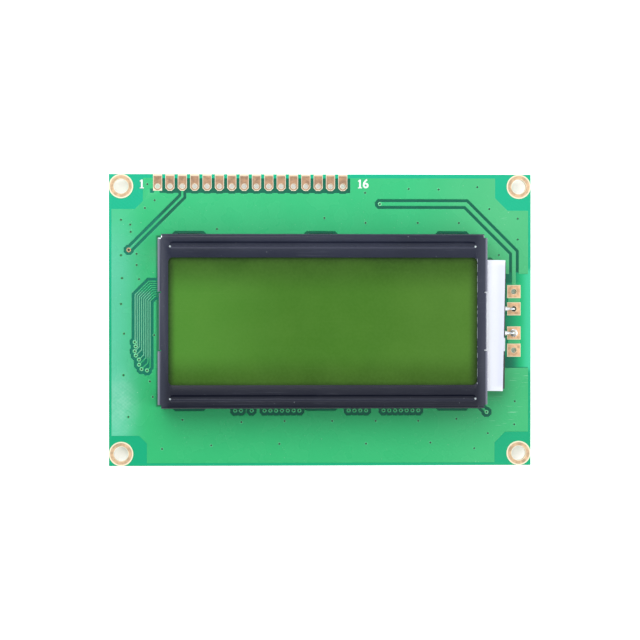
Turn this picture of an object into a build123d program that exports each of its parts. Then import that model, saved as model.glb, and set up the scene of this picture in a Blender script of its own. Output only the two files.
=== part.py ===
# Character display module, 16 columns by 4 rows, with an edge-lit backlight.
# Millimetres. The origin is the centre of the four mounting holes, on the board's back face.
# +X runs along the board towards the backlight's end, +Y towards the edge with the pin row,
# and +Z out of the display's face.
import os
from math import cos, radians, sin, tan

from build123d import *

os.makedirs("parts", exist_ok=True)

# Circuit board
board_length = 87.0
board_width = 60.0
board_thickness = 1.6
hole_inset = 2.5
mount_hole_diameter = 3.0
mount_land_diameter = 5.0

# Copper with the solder mask over it, and the copper that lines a plated hole
copper_thickness = 0.07
plating_thickness = 0.05
pour_margin = 0.55
front_top_margin = 0.8
rear_top_margin = 1.6
via_land_diameter = 0.85
signal_width = 0.22
rear_signal_width = 0.3
power_width = 0.8
signal_gap = 0.6
rear_signal_gap = 0.5

# Corner clearings of the pour: which corner, width, height and chamfer
corner_clearings = [
    (-1, 1, 7.0, 7.2, 1.65),
    (1, 1, 7.4, 7.45, 2.6),
    (1, -1, 7.5, 6.9, 2.2),
    (-1, -1, 7.8, 6.2, 1.6),
]

# Pin row along the top edge
pin_count = 16
pin_pitch = 2.54
pin_hole_diameter = 1.0
pin_row_inset = 2.5
first_pin_inset = 10.0
pin_land_width = 1.85
pin_land_gap = 0.6
pin_bridge_width = 1.15
pin_bridge_shift = 0.17
pin_relief = 0.85
bore_sides = 16

# Backlight lands beside the light guide's end
backlight_inset = 3.5
backlight_inner_offset = 2.5
backlight_outer_offset = 6.05
backlight_land_length = 2.8
backlight_land_width = 2.7
backlight_hole_diameter = 1.1
backlight_clearing_height = 19.4
backlight_clearing_width = 8.0
backlight_bridge_narrowing = 0.3

# The display's own axis on the board
display_x = 0.1
display_y = -0.2

# Bezel, one folded sheet
sheet = 0.5
bezel_end_margin = 9.95
bezel_width = 35.5
bend_radius = 0.7
window_end_border = 2.15
window_side_border = 4.8
window_corner = 0.9
rib_end_border = 2.4
rib_width = 1.3
rib_depth = 0.4
rib_slope = 40.0
contact_inset = 2.18
flap_height = 3.0
flap_gap = 12.1
flap_relief = 0.3
corner_relief = 0.8
tongue_setback = 0.27
tab_inset = 6.45
tab_count = 3
tab_width = 4.8
tab_foot_length = 2.7
slot_clearance = 0.25
slot_end_clearance = 0.4
slot_corner = 0.3
tab_clearing_length = 6.9
tab_clearing_side = 0.73
tab_clearing_chamfer = 0.5

# Liquid crystal cell
glass_thickness = 1.1
glass_clearance = 0.4
cell_gap = 0.05
seal_width = 1.0
seal_inset = 0.5
fill_port_width = 2.0
fill_plug_width = 2.8
fill_plug_thickness = 0.3
fill_plug_height = 1.7
polarizer_thickness = 0.25
front_polarizer_overlap = 0.4
front_polarizer_overlap_y = 0.75
rear_polarizer_inset = 0.5

# Zebra strips and their pads
zebra_width = 2.2
zebra_end_gap = 1.65
zebra_gap = 0.35
pad_pitch = 1.2
pad_width = 0.7
pad_length = 2.0
pad_clearing = 0.5

# Backlight
guide_side_gap = 1.22
guide_thickness = 5.1
guide_shift = -0.9
reflector_thickness = 0.15
diffuser_thickness = 0.2
cover_thickness = 0.15
cover_gap = 0.45
cover_overhang = 1.17
cover_turn = -1.1
strip_turn = -0.5
strip_thickness = 0.5
strip_inset = 0.25
strip_top_gap = 0.5
led_pitch = 4.2
led_length = 2.8
led_depth = 0.8
led_height = 1.4
led_lift = 2.0
led_gap = 0.18
lead_run = 2.32
lead_width = 0.45
lead_height = 1.5
lead_bend = 0.7
lead_tail = 0.9
strip_solder_radius = 0.7
hole_solder_radius = 0.85
solder_height = 0.6
solder_neck = 0.15
solder_rim = 0.05
solder_sides = 12

# Epoxy blobs over the bonded chips on the back
blob_height = 1.75
blob_cuts = [(0.1, 0.9), (0.4, 0.43)]
blob_sides = 32
controller_radius = 8.0
controller_centre = (-13.2, 2.5)
driver_radius = 6.5
driver_x = 6.0
driver_foot_gap = 2.25
far_driver = (25.0, 4.0)

# Small chips on the back
chip_length = 2.0
chip_width = 1.25
resistor_height = 0.5
capacitor_height = 0.9
chip_land_length = 1.0
chip_land_inset = 0.4
chip_fillet_share = 0.7
chip_clearing = 0.4
ladder_count = 5
ladder_pitch = 2.0
ladder_centre = (-22.9, -9.6)
single_resistors = [(-20.5, 10.2), (16.0, 14.6), (33.0, 12.0)]
capacitors = [(-20.5, 12.6), (16.0, 12.0), (31.0, -9.0)]

# Vias in rows below the bezel: the first one's place along X and how many
via_pitch = 1.2
via_row_offset = 0.68
via_rows = [(-17.6, 2), (-14.2, 1), (-11.55, 7), (5.8, 4), (13.0, 7)]

# Vias of the bus at the left: how far from the board's edge, and from the display's axis
bus_via_places = [
    (5.31, -4.34),
    (5.51, -5.22),
    (5.31, -6.22),
    (5.54, -7.08),
    (6.17, -7.93),
    (6.19, -8.98),
    (6.71, -9.87),
    (7.83, -10.16),
]
bus_pitch = 0.44
bus_inset = 5.4
bus_rise = 8.16
bus_chamfer = 2.79
bus_reach = 3.45

# Single vias: the contrast one from the board's top left corner, the supply one from the
# backlight's pin, and one from the bezel's lower right corner
contrast_inset = (4.09, 15.61)
supply_offset = (10.18, -3.61)
supply_turn_inset = 13.45
corner_via_offset = (0.68, -1.05)

# Heights, from the board's back face up through the stack
board_top = board_thickness
copper_top = board_top + copper_thickness
guide_base = copper_top + reflector_thickness
guide_top = guide_base + guide_thickness
diffuser_top = guide_top + diffuser_thickness
rear_glass_base = diffuser_top + polarizer_thickness
rear_glass_top = rear_glass_base + glass_thickness
front_glass_base = rear_glass_top + cell_gap
front_glass_top = front_glass_base + glass_thickness
plate_base = front_glass_top + rib_depth
bezel_top = plate_base + sheet

# Lengths that follow from the board and the bezel
bezel_length = board_length - 2 * bezel_end_margin
window_length = bezel_length - 2 * window_end_border
window_width = bezel_width - 2 * window_side_border
rib_length = bezel_length - 2 * rib_end_border
contact_offset = bezel_width / 2 - contact_inset
glass_length = bezel_length - 2 * (sheet + glass_clearance)
glass_width = bezel_width - 2 * (sheet + glass_clearance)
rear_glass_width = 2 * (contact_offset - zebra_width / 2 - zebra_gap)
zebra_length = glass_length - 2 * zebra_end_gap
guide_width = 2 * (contact_offset - zebra_width / 2 - guide_side_gap)
wall_centre = (bezel_width - sheet) / 2
glass_edge = display_x - glass_length / 2
guide_y = display_y + guide_shift

# Places on the board
right_edge = board_length / 2
top_edge = board_width / 2
bezel_corner_x = display_x + bezel_length / 2
bezel_corner_y = display_y - bezel_width / 2
mount_points = [
    (x * (right_edge - hole_inset), y * (top_edge - hole_inset))
    for x in (-1, 1)
    for y in (-1, 1)
]
pin_y = top_edge - pin_row_inset
pin_points = [
    (first_pin_inset - right_edge + i * pin_pitch, pin_y) for i in range(pin_count)
]
first_pin_x = pin_points[0][0]
backlight_x = right_edge - backlight_inset
backlight_points = [
    (backlight_x, display_y + offset)
    for offset in (
        backlight_outer_offset,
        backlight_inner_offset,
        -backlight_inner_offset,
        -backlight_outer_offset,
    )
]
tab_spacing = (bezel_length - 2 * tab_inset) / (tab_count - 1)
tab_positions = [
    display_x + (i - (tab_count - 1) / 2) * tab_spacing for i in range(tab_count)
]
slot_points = [
    (x, display_y + side * wall_centre) for x in tab_positions for side in (-1, 1)
]
row_vias = [
    (start + i * via_pitch, bezel_corner_y - via_row_offset)
    for start, count in via_rows
    for i in range(count)
]
bus_vias = [(x - right_edge, display_y + y) for x, y in bus_via_places]
bus_x = bus_inset - right_edge
bus_y = display_y + bus_rise
bus_end = display_x - bezel_length / 2 + bus_reach
contrast_via = (contrast_inset[0] - right_edge, top_edge - contrast_inset[1])
supply_via = (pin_points[14][0] + supply_offset[0], pin_y + supply_offset[1])
supply_turn = right_edge - supply_turn_inset
corner_via = (
    bezel_corner_x + corner_via_offset[0],
    bezel_corner_y + corner_via_offset[1],
)
driver_y = bezel_corner_y + tab_foot_length + driver_foot_gap + driver_radius
driver_centres = [(driver_x, driver_y), far_driver]
chip_points = (
    [
        (ladder_centre[0], ladder_centre[1] + (i - (ladder_count - 1) / 2) * ladder_pitch)
        for i in range(ladder_count)
    ]
    + single_resistors
)
plated_holes = [
    (mount_points, mount_hole_diameter),
    (pin_points, pin_hole_diameter),
    (backlight_points, backlight_hole_diameter),
]


def route(paths, width, mode=Mode.ADD):
    """Copper, or a clearing, of one width along each path of the sketch being built."""
    for path in paths:
        with BuildLine() as run:
            Polyline(*path)
        trace(run.line, line_width=width, mode=mode)


def rounds(points, radius, mode=Mode.ADD):
    """A circle, added or cut, at each point of the sketch being built."""
    with Locations(*points):
        Circle(radius, mode=mode)


def octagons(points, radius, mode=Mode.ADD):
    """An eight-sided pad or clearing, added or cut, at each point of the sketch."""
    polygons(points, radius, 8, mode)


def polygons(points, radius, sides, mode=Mode.ADD):
    """A polygon with flats at a radius, added or cut, at each point of the sketch."""
    with Locations(*points):
        RegularPolygon(radius, sides, major_radius=False, rotation=180 / sides, mode=mode)


def clear_corners():
    """Cut the four chamfered corner clearings out of the pour being built."""
    for side, end, width, height, cut in corner_clearings:
        x = side * right_edge
        y = end * top_edge
        Polygon(
            (x, y),
            (x - side * width, y),
            (x - side * width, y - end * (height - cut)),
            (x - side * (width - cut), y - end * height),
            (x, y - end * height),
            align=None,
            mode=Mode.SUBTRACT,
        )


def pour(top_margin):
    """The copper area of one face inside its margins, without the corner clearings."""
    height = board_width - pour_margin - top_margin
    with Locations((0, (pour_margin - top_margin) / 2)):
        Rectangle(board_length - 2 * pour_margin, height)
    clear_corners()


def mound(radius, height, sides, cuts):
    """A prism whose upper rim is cut back in turn by each pair of lengths, along the top
    and down the side."""
    with BuildPart() as shape:
        with BuildSketch():
            polygons([(0, 0)], radius, sides)
        extrude(amount=height)
        for inward, down in cuts:
            top = shape.faces().sort_by(Axis.Z)[-1]
            chamfer(top.edges(), length=inward, length2=down, reference=top)
    return shape.part


def between(first, last):
    """A clearing from one path to another of as many points."""
    Polygon(*first, *reversed(last), align=None)


def plated(outlines, points, diameter, sides=0):
    """Lands on both faces of the board, joined through each hole by a lining whose
    outer side, hidden in the laminate, has eight flats. The bore is round or a polygon."""
    with BuildPart() as lands:
        with BuildSketch(Plane.XY.offset(-copper_thickness)):
            add(outlines)
        extrude(amount=board_thickness + 2 * copper_thickness)
        with BuildSketch():
            Rectangle(2 * board_length, 2 * board_width)
            octagons(points, diameter / 2 + plating_thickness, Mode.SUBTRACT)
        extrude(amount=board_thickness, mode=Mode.SUBTRACT)
        with BuildSketch(Plane.XY.offset(-copper_thickness)):
            if sides:
                polygons(points, diameter / 2, sides)
            else:
                rounds(points, diameter / 2)
        extrude(amount=board_thickness + 2 * copper_thickness, mode=Mode.SUBTRACT)
    return lands


# Outlines of the bare lands
with BuildSketch() as mount_outlines:
    rounds(mount_points, mount_land_diameter / 2)

with BuildSketch() as pin_outlines:
    with Locations(*[(x, pin_y + pin_row_inset / 2) for x, _ in pin_points]):
        Rectangle(pin_land_width, pin_row_inset)
    octagons(pin_points[1:], pin_land_width / 2)
    with Locations(pin_points[0]):
        Rectangle(pin_land_width, pin_land_width)

with BuildSketch() as backlight_outlines:
    with Locations(*backlight_points):
        Rectangle(backlight_land_length, backlight_land_width)

# Mounting hole lands
mounting_hole_lands = plated(mount_outlines.sketch, mount_points, mount_hole_diameter)
mounting_hole_lands.part.label = "mounting_hole_lands"
export_step(mounting_hole_lands.part, "parts/mounting_hole_lands.step")

# Header lands, which run out to the board's edge
header_lands = plated(pin_outlines.sketch, pin_points, pin_hole_diameter, bore_sides)
header_lands.part.label = "header_lands"
export_step(header_lands.part, "parts/header_lands.step")

# Backlight lands
backlight_lands = plated(
    backlight_outlines.sketch, backlight_points, backlight_hole_diameter, bore_sides
)
backlight_lands.part.label = "backlight_lands"
export_step(backlight_lands.part, "parts/backlight_lands.step")

# Circuit board with drilled holes and routed slots for the bezel's tabs
with BuildPart() as circuit_board:
    with BuildSketch():
        Rectangle(board_length, board_width)
        for points, diameter in plated_holes:
            octagons(points, diameter / 2 + plating_thickness, Mode.SUBTRACT)
        with BuildSketch(mode=Mode.SUBTRACT) as slots:
            with Locations(*slot_points):
                Rectangle(tab_width + 2 * slot_end_clearance, sheet + 2 * slot_clearance)
            chamfer(slots.vertices(), slot_corner)
    extrude(amount=board_thickness)
circuit_board.part.label = "circuit_board"
export_step(circuit_board.part, "parts/circuit_board.step")

# Traces on the front face
bus_paths = []
for i, (via_x, via_y) in enumerate(bus_vias):
    line_x = bus_x + i * bus_pitch
    line_y = bus_y - i * bus_pitch
    corner = bus_y - bus_x - bus_chamfer - i * bus_pitch * 2**0.5
    bus_paths.append(
        [
            (bus_end, line_y),
            (line_y - corner, line_y),
            (line_x, line_x + corner),
            (line_x, via_y + line_x - via_x),
            (via_x, via_y),
        ]
    )
contrast_x = pin_points[2][0]
contrast_path = [
    (contrast_x, pin_y - pin_land_width / 2),
    (contrast_x, contrast_via[1] + contrast_x - contrast_via[0]),
    contrast_via,
]
supply_path = [
    supply_via,
    (supply_turn, supply_via[1]),
    (backlight_x, supply_via[1] - backlight_x + supply_turn),
    (backlight_x, backlight_points[0][1]),
]
pad_row_edge = display_y - contact_offset - pad_length / 2
row_paths = [[(x, y), (x, pad_row_edge)] for x, y in row_vias]
corner_end_y = pad_row_edge + signal_width
corner_path = [
    corner_via,
    (corner_via[0] + corner_via[1] - corner_end_y, corner_end_y),
]

# Front copper: the pour with its clearings, then the traces
with BuildPart() as front_copper:
    with BuildSketch(Plane.XY.offset(board_top)):
        pour(front_top_margin)
        pin_clearing_left = first_pin_x + pin_bridge_width / 2 - pin_bridge_shift
        pin_clearing_right = pin_points[-1][0] + pin_land_width / 2 + pin_land_gap
        pin_clearing_base = pin_y - pin_land_width / 2 - pin_land_gap * 3 / 4
        with Locations((pin_clearing_left, pin_clearing_base)):
            Rectangle(
                pin_clearing_right - pin_clearing_left,
                top_edge - pin_clearing_base,
                align=(Align.MIN, Align.MIN),
                mode=Mode.SUBTRACT,
            )
        octagons(pin_points[1:], pin_land_width / 2 + pin_land_gap, Mode.SUBTRACT)
        with Locations((pin_clearing_left - pin_bridge_width, pin_clearing_base)):
            Rectangle(
                pin_relief, pin_relief, align=(Align.MAX, Align.MIN), mode=Mode.SUBTRACT
            )
        with Locations((right_edge - backlight_clearing_width, display_y)):
            Rectangle(
                backlight_clearing_width,
                backlight_clearing_height,
                align=(Align.MIN, Align.CENTER),
                mode=Mode.SUBTRACT,
            )
        with BuildSketch(mode=Mode.SUBTRACT) as tab_clearings:
            with Locations(*slot_points):
                Rectangle(tab_clearing_length, sheet + 2 * tab_clearing_side)
            chamfer(tab_clearings.vertices(), tab_clearing_chamfer)
        with Locations((display_x, display_y)):
            with GridLocations(0, 2 * contact_offset, 1, 2):
                Rectangle(
                    zebra_length + 2 * pad_clearing,
                    pad_length + 2 * pad_clearing,
                    mode=Mode.SUBTRACT,
                )
        with BuildSketch(mode=Mode.SUBTRACT):
            route(bus_paths, signal_width + 2 * signal_gap)
            with Locations((bus_end, (bus_paths[0][0][1] + bus_paths[-1][0][1]) / 2)):
                Rectangle(2 * signal_gap, len(bus_paths) * bus_pitch + 2 * signal_gap)
            octagons(bus_vias, via_land_diameter / 2 + signal_gap)
            route([contrast_path], signal_width * 2 + 2 * signal_gap)
            octagons([contrast_via], via_land_diameter / 2 + signal_gap)
            route([supply_path], power_width + 2 * signal_gap)
            octagons([supply_via], power_width / 2 + signal_gap)
            route(row_paths, signal_width + 2 * signal_gap)
            octagons(row_vias, via_land_diameter / 2 + signal_gap)
            route([corner_path], 2 * signal_width + 2 * signal_gap)
            octagons([corner_via], via_land_diameter / 2 + signal_gap)
        route(bus_paths, signal_width)
        route([contrast_path], 2 * signal_width)
        route([supply_path], power_width)
        octagons([supply_via], power_width / 2)
        route(row_paths, signal_width)
        route([corner_path], 2 * signal_width)
        octagons(
            [*bus_vias, *row_vias, contrast_via, corner_via], via_land_diameter / 2
        )
        for upper, lower in (backlight_points[:2], backlight_points[2:]):
            with Locations((backlight_x, (upper[1] + lower[1]) / 2)):
                Rectangle(
                    backlight_land_length - backlight_bridge_narrowing,
                    upper[1] - lower[1],
                )
        add(pin_outlines.sketch, mode=Mode.SUBTRACT)
        add(backlight_outlines.sketch, mode=Mode.SUBTRACT)
    extrude(amount=copper_thickness)
front_copper.part.label = "front_copper"
export_step(front_copper.part, "parts/front_copper.step")

# Traces on the back face
controller_x, controller_y = controller_centre
data_pins = pin_points[3:14]
data_pitch = 0.95
data_base = controller_y + controller_radius + 3.5
least_jog = 0.01
data_paths = []
for i, (x, _) in enumerate(data_pins):
    end_x = controller_x + (i - (len(data_pins) - 1) / 2) * data_pitch
    data_paths.append(
        [
            (x, pin_y),
            (x, data_base + abs(x - end_x) + least_jog),
            (end_x, data_base),
            (end_x, controller_y),
        ]
    )
bus_step = 1.2
bus_lead_out = 0.59
bus_top = controller_y + 3.3
bus_corner = bus_vias[0][1] - bus_vias[0][0] - bus_lead_out
rear_bus_paths = []
for i, (via_x, via_y) in enumerate(bus_vias):
    corner = bus_corner - i * bus_step
    end_y = bus_top - i * data_pitch
    rear_bus_paths.append(
        [
            (via_x, via_y),
            (via_y - corner, via_y),
            (end_y - corner, end_y),
            (controller_x, end_y),
        ]
    )
row_reach = 6.0
row_turn = 1.0
row_step = 0.8
driver_lead_in = 1.9
far_x, far_y = far_driver
rear_row_paths = []
for i, (x, y) in enumerate(row_vias):
    if abs(x - controller_x) < row_reach:
        rear_row_paths.append([(x, y), (x, controller_y)])
    elif abs(x - driver_x) < row_reach:
        rear_row_paths.append([(x, y), (x, driver_y)])
    elif x < driver_x:
        end_y = driver_y - row_step * (x - controller_x - row_reach - row_turn)
        rear_row_paths.append(
            [(x, y), (x, end_y - row_turn), (x + row_turn, end_y), (driver_x, end_y)]
        )
    else:
        turn_y = far_y - driver_radius - driver_lead_in
        run = far_y - turn_y
        rear_row_paths.append([(x, y), (x, turn_y), (x + run, turn_y + run)])
link_count = 3
link_paths = [
    [(controller_x, base + i * data_pitch), (end_x, base + i * data_pitch)]
    for end_x, base in ((driver_x, driver_y + 2.5), (far_x, far_y + 1.5))
    for i in range(link_count)
]
chip_land_offset = chip_length / 2 - chip_land_inset + chip_land_length / 2
ladder_paths = []
for i, (x, y) in enumerate(chip_points[: ladder_count - 1]):
    side = 1 if i % 2 else -1
    link_x = x + side * chip_land_offset
    ladder_paths.append([(link_x, y), (link_x, y + ladder_pitch)])
rear_signal_paths = data_paths + rear_bus_paths + rear_row_paths + link_paths
supply_pin_x = pin_points[1][0]
backlight_pin_x = pin_points[14][0]
ground_pin_x = pin_points[15][0]
pin_base = pin_y - pin_land_width / 2
supply_y = controller_y + 4.9
power_turn = 2.1
return_jog = 0.7
return_x = backlight_x - 2.2
return_turn = 6.8
return_y = backlight_points[3][1]
rear_power_paths = [
    [
        (supply_pin_x, pin_base),
        (supply_pin_x, supply_y + power_turn),
        (supply_pin_x + power_turn, supply_y),
        (controller_x, supply_y),
    ],
    [
        (backlight_pin_x, pin_base),
        (backlight_pin_x, supply_via[1] + row_turn),
        (backlight_pin_x + row_turn, supply_via[1]),
        supply_via,
    ],
    [
        (ground_pin_x, pin_base),
        (ground_pin_x + return_jog, pin_base - return_jog),
        (return_x - return_turn, pin_base - return_jog),
        (return_x, pin_base - return_jog - return_turn),
        (return_x, return_y + row_turn),
        (return_x + row_turn, return_y),
        (backlight_x, return_y),
    ],
]
rear_reach = rear_signal_width / 2 + rear_signal_gap
via_reach = via_land_diameter / 2 + rear_signal_gap
row_y = row_vias[0][1]
straight_x = [path[0][0] for path in rear_row_paths if path[-1][1] == controller_y]
bent_paths = [path for path in rear_row_paths if len(path) == 4]
rear_vias = [*bus_vias, *row_vias, contrast_via, supply_via]
blobs = [(controller_centre, controller_radius)] + [
    (centre, driver_radius) for centre in driver_centres
]

# Rear copper
with BuildPart() as rear_copper:
    with BuildSketch(Plane.XY.offset(-copper_thickness)):
        pour(rear_top_margin)
        with Locations((right_edge, display_y)):
            Rectangle(
                backlight_inset - backlight_land_length / 4,
                backlight_clearing_height,
                align=(Align.MAX, Align.CENTER),
                mode=Mode.SUBTRACT,
            )
        with BuildSketch(mode=Mode.SUBTRACT):
            with Locations(*[(x, (pin_y + top_edge) / 2) for x, _ in pin_points[1:]]):
                Rectangle(pin_land_width + 2 * pin_land_gap, pin_row_inset)
            octagons(pin_points[1:], pin_land_width / 2 + pin_land_gap)
            with Locations(*backlight_points):
                Rectangle(
                    backlight_land_length + 2 * rear_signal_gap,
                    backlight_land_width + 2 * rear_signal_gap,
                )
            with Locations(*slot_points):
                Rectangle(tab_clearing_length, sheet + 2 * tab_clearing_side)
            with Locations(*chip_points, *capacitors):
                Rectangle(
                    chip_length + 2 * (chip_land_length - chip_land_inset + chip_clearing),
                    chip_width + 2 * chip_clearing,
                )
            between([(x - rear_reach, y) for x, y in data_paths[0]],
                    [(x + rear_reach, y) for x, y in data_paths[-1]])
            between([(x, y + rear_reach) for x, y in rear_bus_paths[0]],
                    [(x, y - rear_reach) for x, y in rear_bus_paths[-1]])
            between([(straight_x[0] - rear_reach, y) for y in (row_y, controller_y)],
                    [(straight_x[-1] + rear_reach, y) for y in (row_y, controller_y)])
            between([(x - rear_reach, y + rear_reach) for x, y in bent_paths[0]],
                    [(x + rear_reach, y - rear_reach) for x, y in bent_paths[-1]])
            for start, count in via_rows:
                run = (count - 1) * via_pitch
                with Locations((start + run / 2, row_y)):
                    Rectangle(run + 2 * via_reach, 2 * via_reach)
            route(rear_row_paths + link_paths, rear_signal_width + 2 * rear_signal_gap)
            route(rear_power_paths, power_width + 2 * rear_signal_gap)
            octagons(bus_vias, via_land_diameter / 2 + signal_gap)
            octagons([contrast_via, supply_via], via_reach)
        route(rear_signal_paths, rear_signal_width)
        route(rear_power_paths, power_width)
        octagons(rear_vias, via_land_diameter / 2)
        route(ladder_paths, rear_signal_width)
        with Locations(*chip_points, *capacitors):
            with GridLocations(2 * chip_land_offset, 0, 2, 1):
                Rectangle(chip_land_length, chip_width)
        for centre, radius in blobs:
            polygons([centre], radius, blob_sides, Mode.SUBTRACT)
        add(pin_outlines.sketch, mode=Mode.SUBTRACT)
        add(backlight_outlines.sketch, mode=Mode.SUBTRACT)
    extrude(amount=copper_thickness)
rear_copper.part.label = "rear_copper"
export_step(rear_copper.part, "parts/rear_copper.step")

# Pads under the zebra strips
pad_count = int(zebra_length / pad_pitch)
with BuildPart() as zebra_contact_pads:
    with BuildSketch(Plane.XY.offset(board_top)):
        with Locations((display_x, display_y)):
            with GridLocations(pad_pitch, 2 * contact_offset, pad_count, 2):
                Rectangle(pad_width, pad_length)
    extrude(amount=copper_thickness)
zebra_contact_pads.part.label = "zebra_contact_pads"
export_step(zebra_contact_pads.part, "parts/zebra_contact_pads.step")

# Bezel: long walls and plate are one channel, the flaps fold down at the short sides
channel_length = bezel_length - 2 * bend_radius
channel_plane = Plane.YZ.offset(display_x - channel_length / 2)
flap_start = bezel_width / 2 - corner_relief
with BuildPart() as bezel:
    with BuildSketch(channel_plane) as channel_outside:
        with Locations((display_y, bezel_top)):
            Rectangle(
                bezel_width, bezel_top - copper_top, align=(Align.CENTER, Align.MAX)
            )
        fillet(channel_outside.vertices().group_by(Axis.Y)[-1], bend_radius)
    extrude(amount=channel_length)
    with BuildSketch(channel_plane) as channel_inside:
        with Locations((display_y, plate_base)):
            Rectangle(
                bezel_width - 2 * sheet,
                plate_base - copper_top,
                align=(Align.CENTER, Align.MAX),
            )
        fillet(channel_inside.vertices().group_by(Axis.Y)[-1], bend_radius - sheet)
    extrude(amount=channel_length, mode=Mode.SUBTRACT)
    for far_edge in (flap_start, -flap_gap / 2):
        flap_plane = Plane.XZ.offset(-display_y - far_edge)
        flap_span = flap_start - flap_gap / 2
        with BuildSketch(flap_plane) as flaps:
            with Locations((display_x, bezel_top)):
                Rectangle(bezel_length, flap_height, align=(Align.CENTER, Align.MAX))
            fillet(flaps.vertices().group_by(Axis.Y)[-1], bend_radius)
            with BuildSketch(mode=Mode.SUBTRACT) as flaps_inside:
                with Locations((display_x, plate_base)):
                    Rectangle(
                        bezel_length - 2 * sheet,
                        flap_height,
                        align=(Align.CENTER, Align.MAX),
                    )
                fillet(flaps_inside.vertices().group_by(Axis.Y)[-1], bend_radius - sheet)
        extrude(amount=flap_span)
    with BuildSketch(Plane.XY.offset(plate_base)):
        with Locations((display_x, display_y)):
            Rectangle(
                bezel_length - 2 * tongue_setback, flap_gap - 2 * flap_relief
            )
    extrude(amount=sheet)
    with BuildSketch(Plane.XY.offset(plate_base)) as rib_undersides:
        with Locations((display_x, display_y)):
            with GridLocations(0, 2 * contact_offset, 1, 2):
                SlotOverall(rib_length, rib_width)
    extrude(amount=-rib_depth, taper=rib_slope)
    with BuildSketch(Plane.XY.offset(bezel_top)) as rib_grooves:
        add(rib_undersides.sketch_local)
    extrude(amount=-rib_depth, taper=rib_slope, mode=Mode.SUBTRACT)
    with BuildSketch(Plane.XY.offset(bezel_top)):
        with Locations((display_x, display_y)):
            RectangleRounded(window_length, window_width, window_corner)
    extrude(amount=-sheet, mode=Mode.SUBTRACT)
    for tab_x in tab_positions:
        with BuildSketch(Plane.YZ.offset(tab_x - tab_width / 2)) as tabs:
            for side in (-1, 1):
                with Locations((display_y + side * wall_centre, copper_top)):
                    Rectangle(
                        sheet,
                        copper_top + copper_thickness + sheet,
                        align=(Align.CENTER, Align.MAX),
                    )
                foot_centre = bezel_width / 2 - tab_foot_length / 2
                with Locations((display_y + side * foot_centre, -copper_thickness)):
                    Rectangle(tab_foot_length, sheet, align=(Align.CENTER, Align.MAX))
            tab_corners = tabs.vertices().group_by(Axis.Y)[0].sort_by(Axis.X)
            fillet([tab_corners[0], tab_corners[-1]], bend_radius)
        extrude(amount=tab_width)
bezel.part.label = "bezel"
export_step(bezel.part, "parts/bezel.step")

# Front polarizer, a little larger than the window
with BuildPart() as front_polarizer:
    with BuildSketch(Plane.XY.offset(front_glass_top)):
        with Locations((display_x, display_y)):
            Rectangle(
                window_length + 2 * front_polarizer_overlap,
                window_width + 2 * front_polarizer_overlap_y,
            )
    extrude(amount=polarizer_thickness)
front_polarizer.part.label = "front_polarizer"
export_step(front_polarizer.part, "parts/front_polarizer.step")

# Front glass, whose long edges overhang the rear glass and meet the zebra strips
with BuildPart() as front_glass:
    with BuildSketch(Plane.XY.offset(front_glass_base)):
        with Locations((display_x, display_y)):
            Rectangle(glass_length, glass_width)
    extrude(amount=glass_thickness)
front_glass.part.label = "front_glass"
export_step(front_glass.part, "parts/front_glass.step")

# Rear glass
with BuildPart() as rear_glass:
    with BuildSketch(Plane.XY.offset(rear_glass_base)):
        with Locations((display_x, display_y)):
            Rectangle(glass_length, rear_glass_width)
    extrude(amount=glass_thickness)
rear_glass.part.label = "rear_glass"
export_step(rear_glass.part, "parts/rear_glass.step")

# Seal between the glasses, open at the fill port
seal_length = glass_length - 2 * seal_inset
seal_breadth = rear_glass_width - 2 * seal_inset
with BuildPart() as glass_seal:
    with BuildSketch(Plane.XY.offset(rear_glass_top)):
        with Locations((display_x, display_y)):
            RectangleRounded(seal_length, seal_breadth, seal_width)
            Rectangle(
                seal_length - 2 * seal_width,
                seal_breadth - 2 * seal_width,
                mode=Mode.SUBTRACT,
            )
        with Locations((display_x - seal_length / 2 + seal_width / 2, display_y)):
            Rectangle(2 * seal_width, fill_port_width, mode=Mode.SUBTRACT)
    extrude(amount=cell_gap)
glass_seal.part.label = "glass_seal"
export_step(glass_seal.part, "parts/glass_seal.step")

# Resin plug over the fill port, on the edge of the glasses
plug_base = rear_glass_top + cell_gap / 2 - fill_plug_height / 2
with BuildPart() as fill_port_plug:
    with BuildSketch(Plane.XY.offset(plug_base)):
        with BuildLine():
            ThreePointArc(
                (glass_edge, display_y + fill_plug_width / 2),
                (glass_edge - fill_plug_thickness, display_y),
                (glass_edge, display_y - fill_plug_width / 2),
            )
            Line(
                (glass_edge, display_y - fill_plug_width / 2),
                (glass_edge, display_y + fill_plug_width / 2),
            )
        make_face()
    extrude(amount=fill_plug_height)
fill_port_plug.part.label = "fill_port_plug"
export_step(fill_port_plug.part, "parts/fill_port_plug.step")

# Rear polarizer
with BuildPart() as rear_polarizer:
    with BuildSketch(Plane.XY.offset(diffuser_top)):
        with Locations((display_x, display_y)):
            Rectangle(
                glass_length - 2 * rear_polarizer_inset,
                rear_glass_width - 2 * rear_polarizer_inset,
            )
    extrude(amount=polarizer_thickness)
rear_polarizer.part.label = "rear_polarizer"
export_step(rear_polarizer.part, "parts/rear_polarizer.step")

# Zebra strips between the board's pads and the front glass
for name, side in (("upper_zebra_strip", 1), ("lower_zebra_strip", -1)):
    with BuildPart() as zebra_strip:
        with BuildSketch(Plane.XY.offset(copper_top)):
            with Locations((display_x, display_y + side * contact_offset)):
                Rectangle(zebra_length, zebra_width)
        extrude(amount=front_glass_base - copper_top)
    zebra_strip.part.label = name
    export_step(zebra_strip.part, f"parts/{name}.step")

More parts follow.
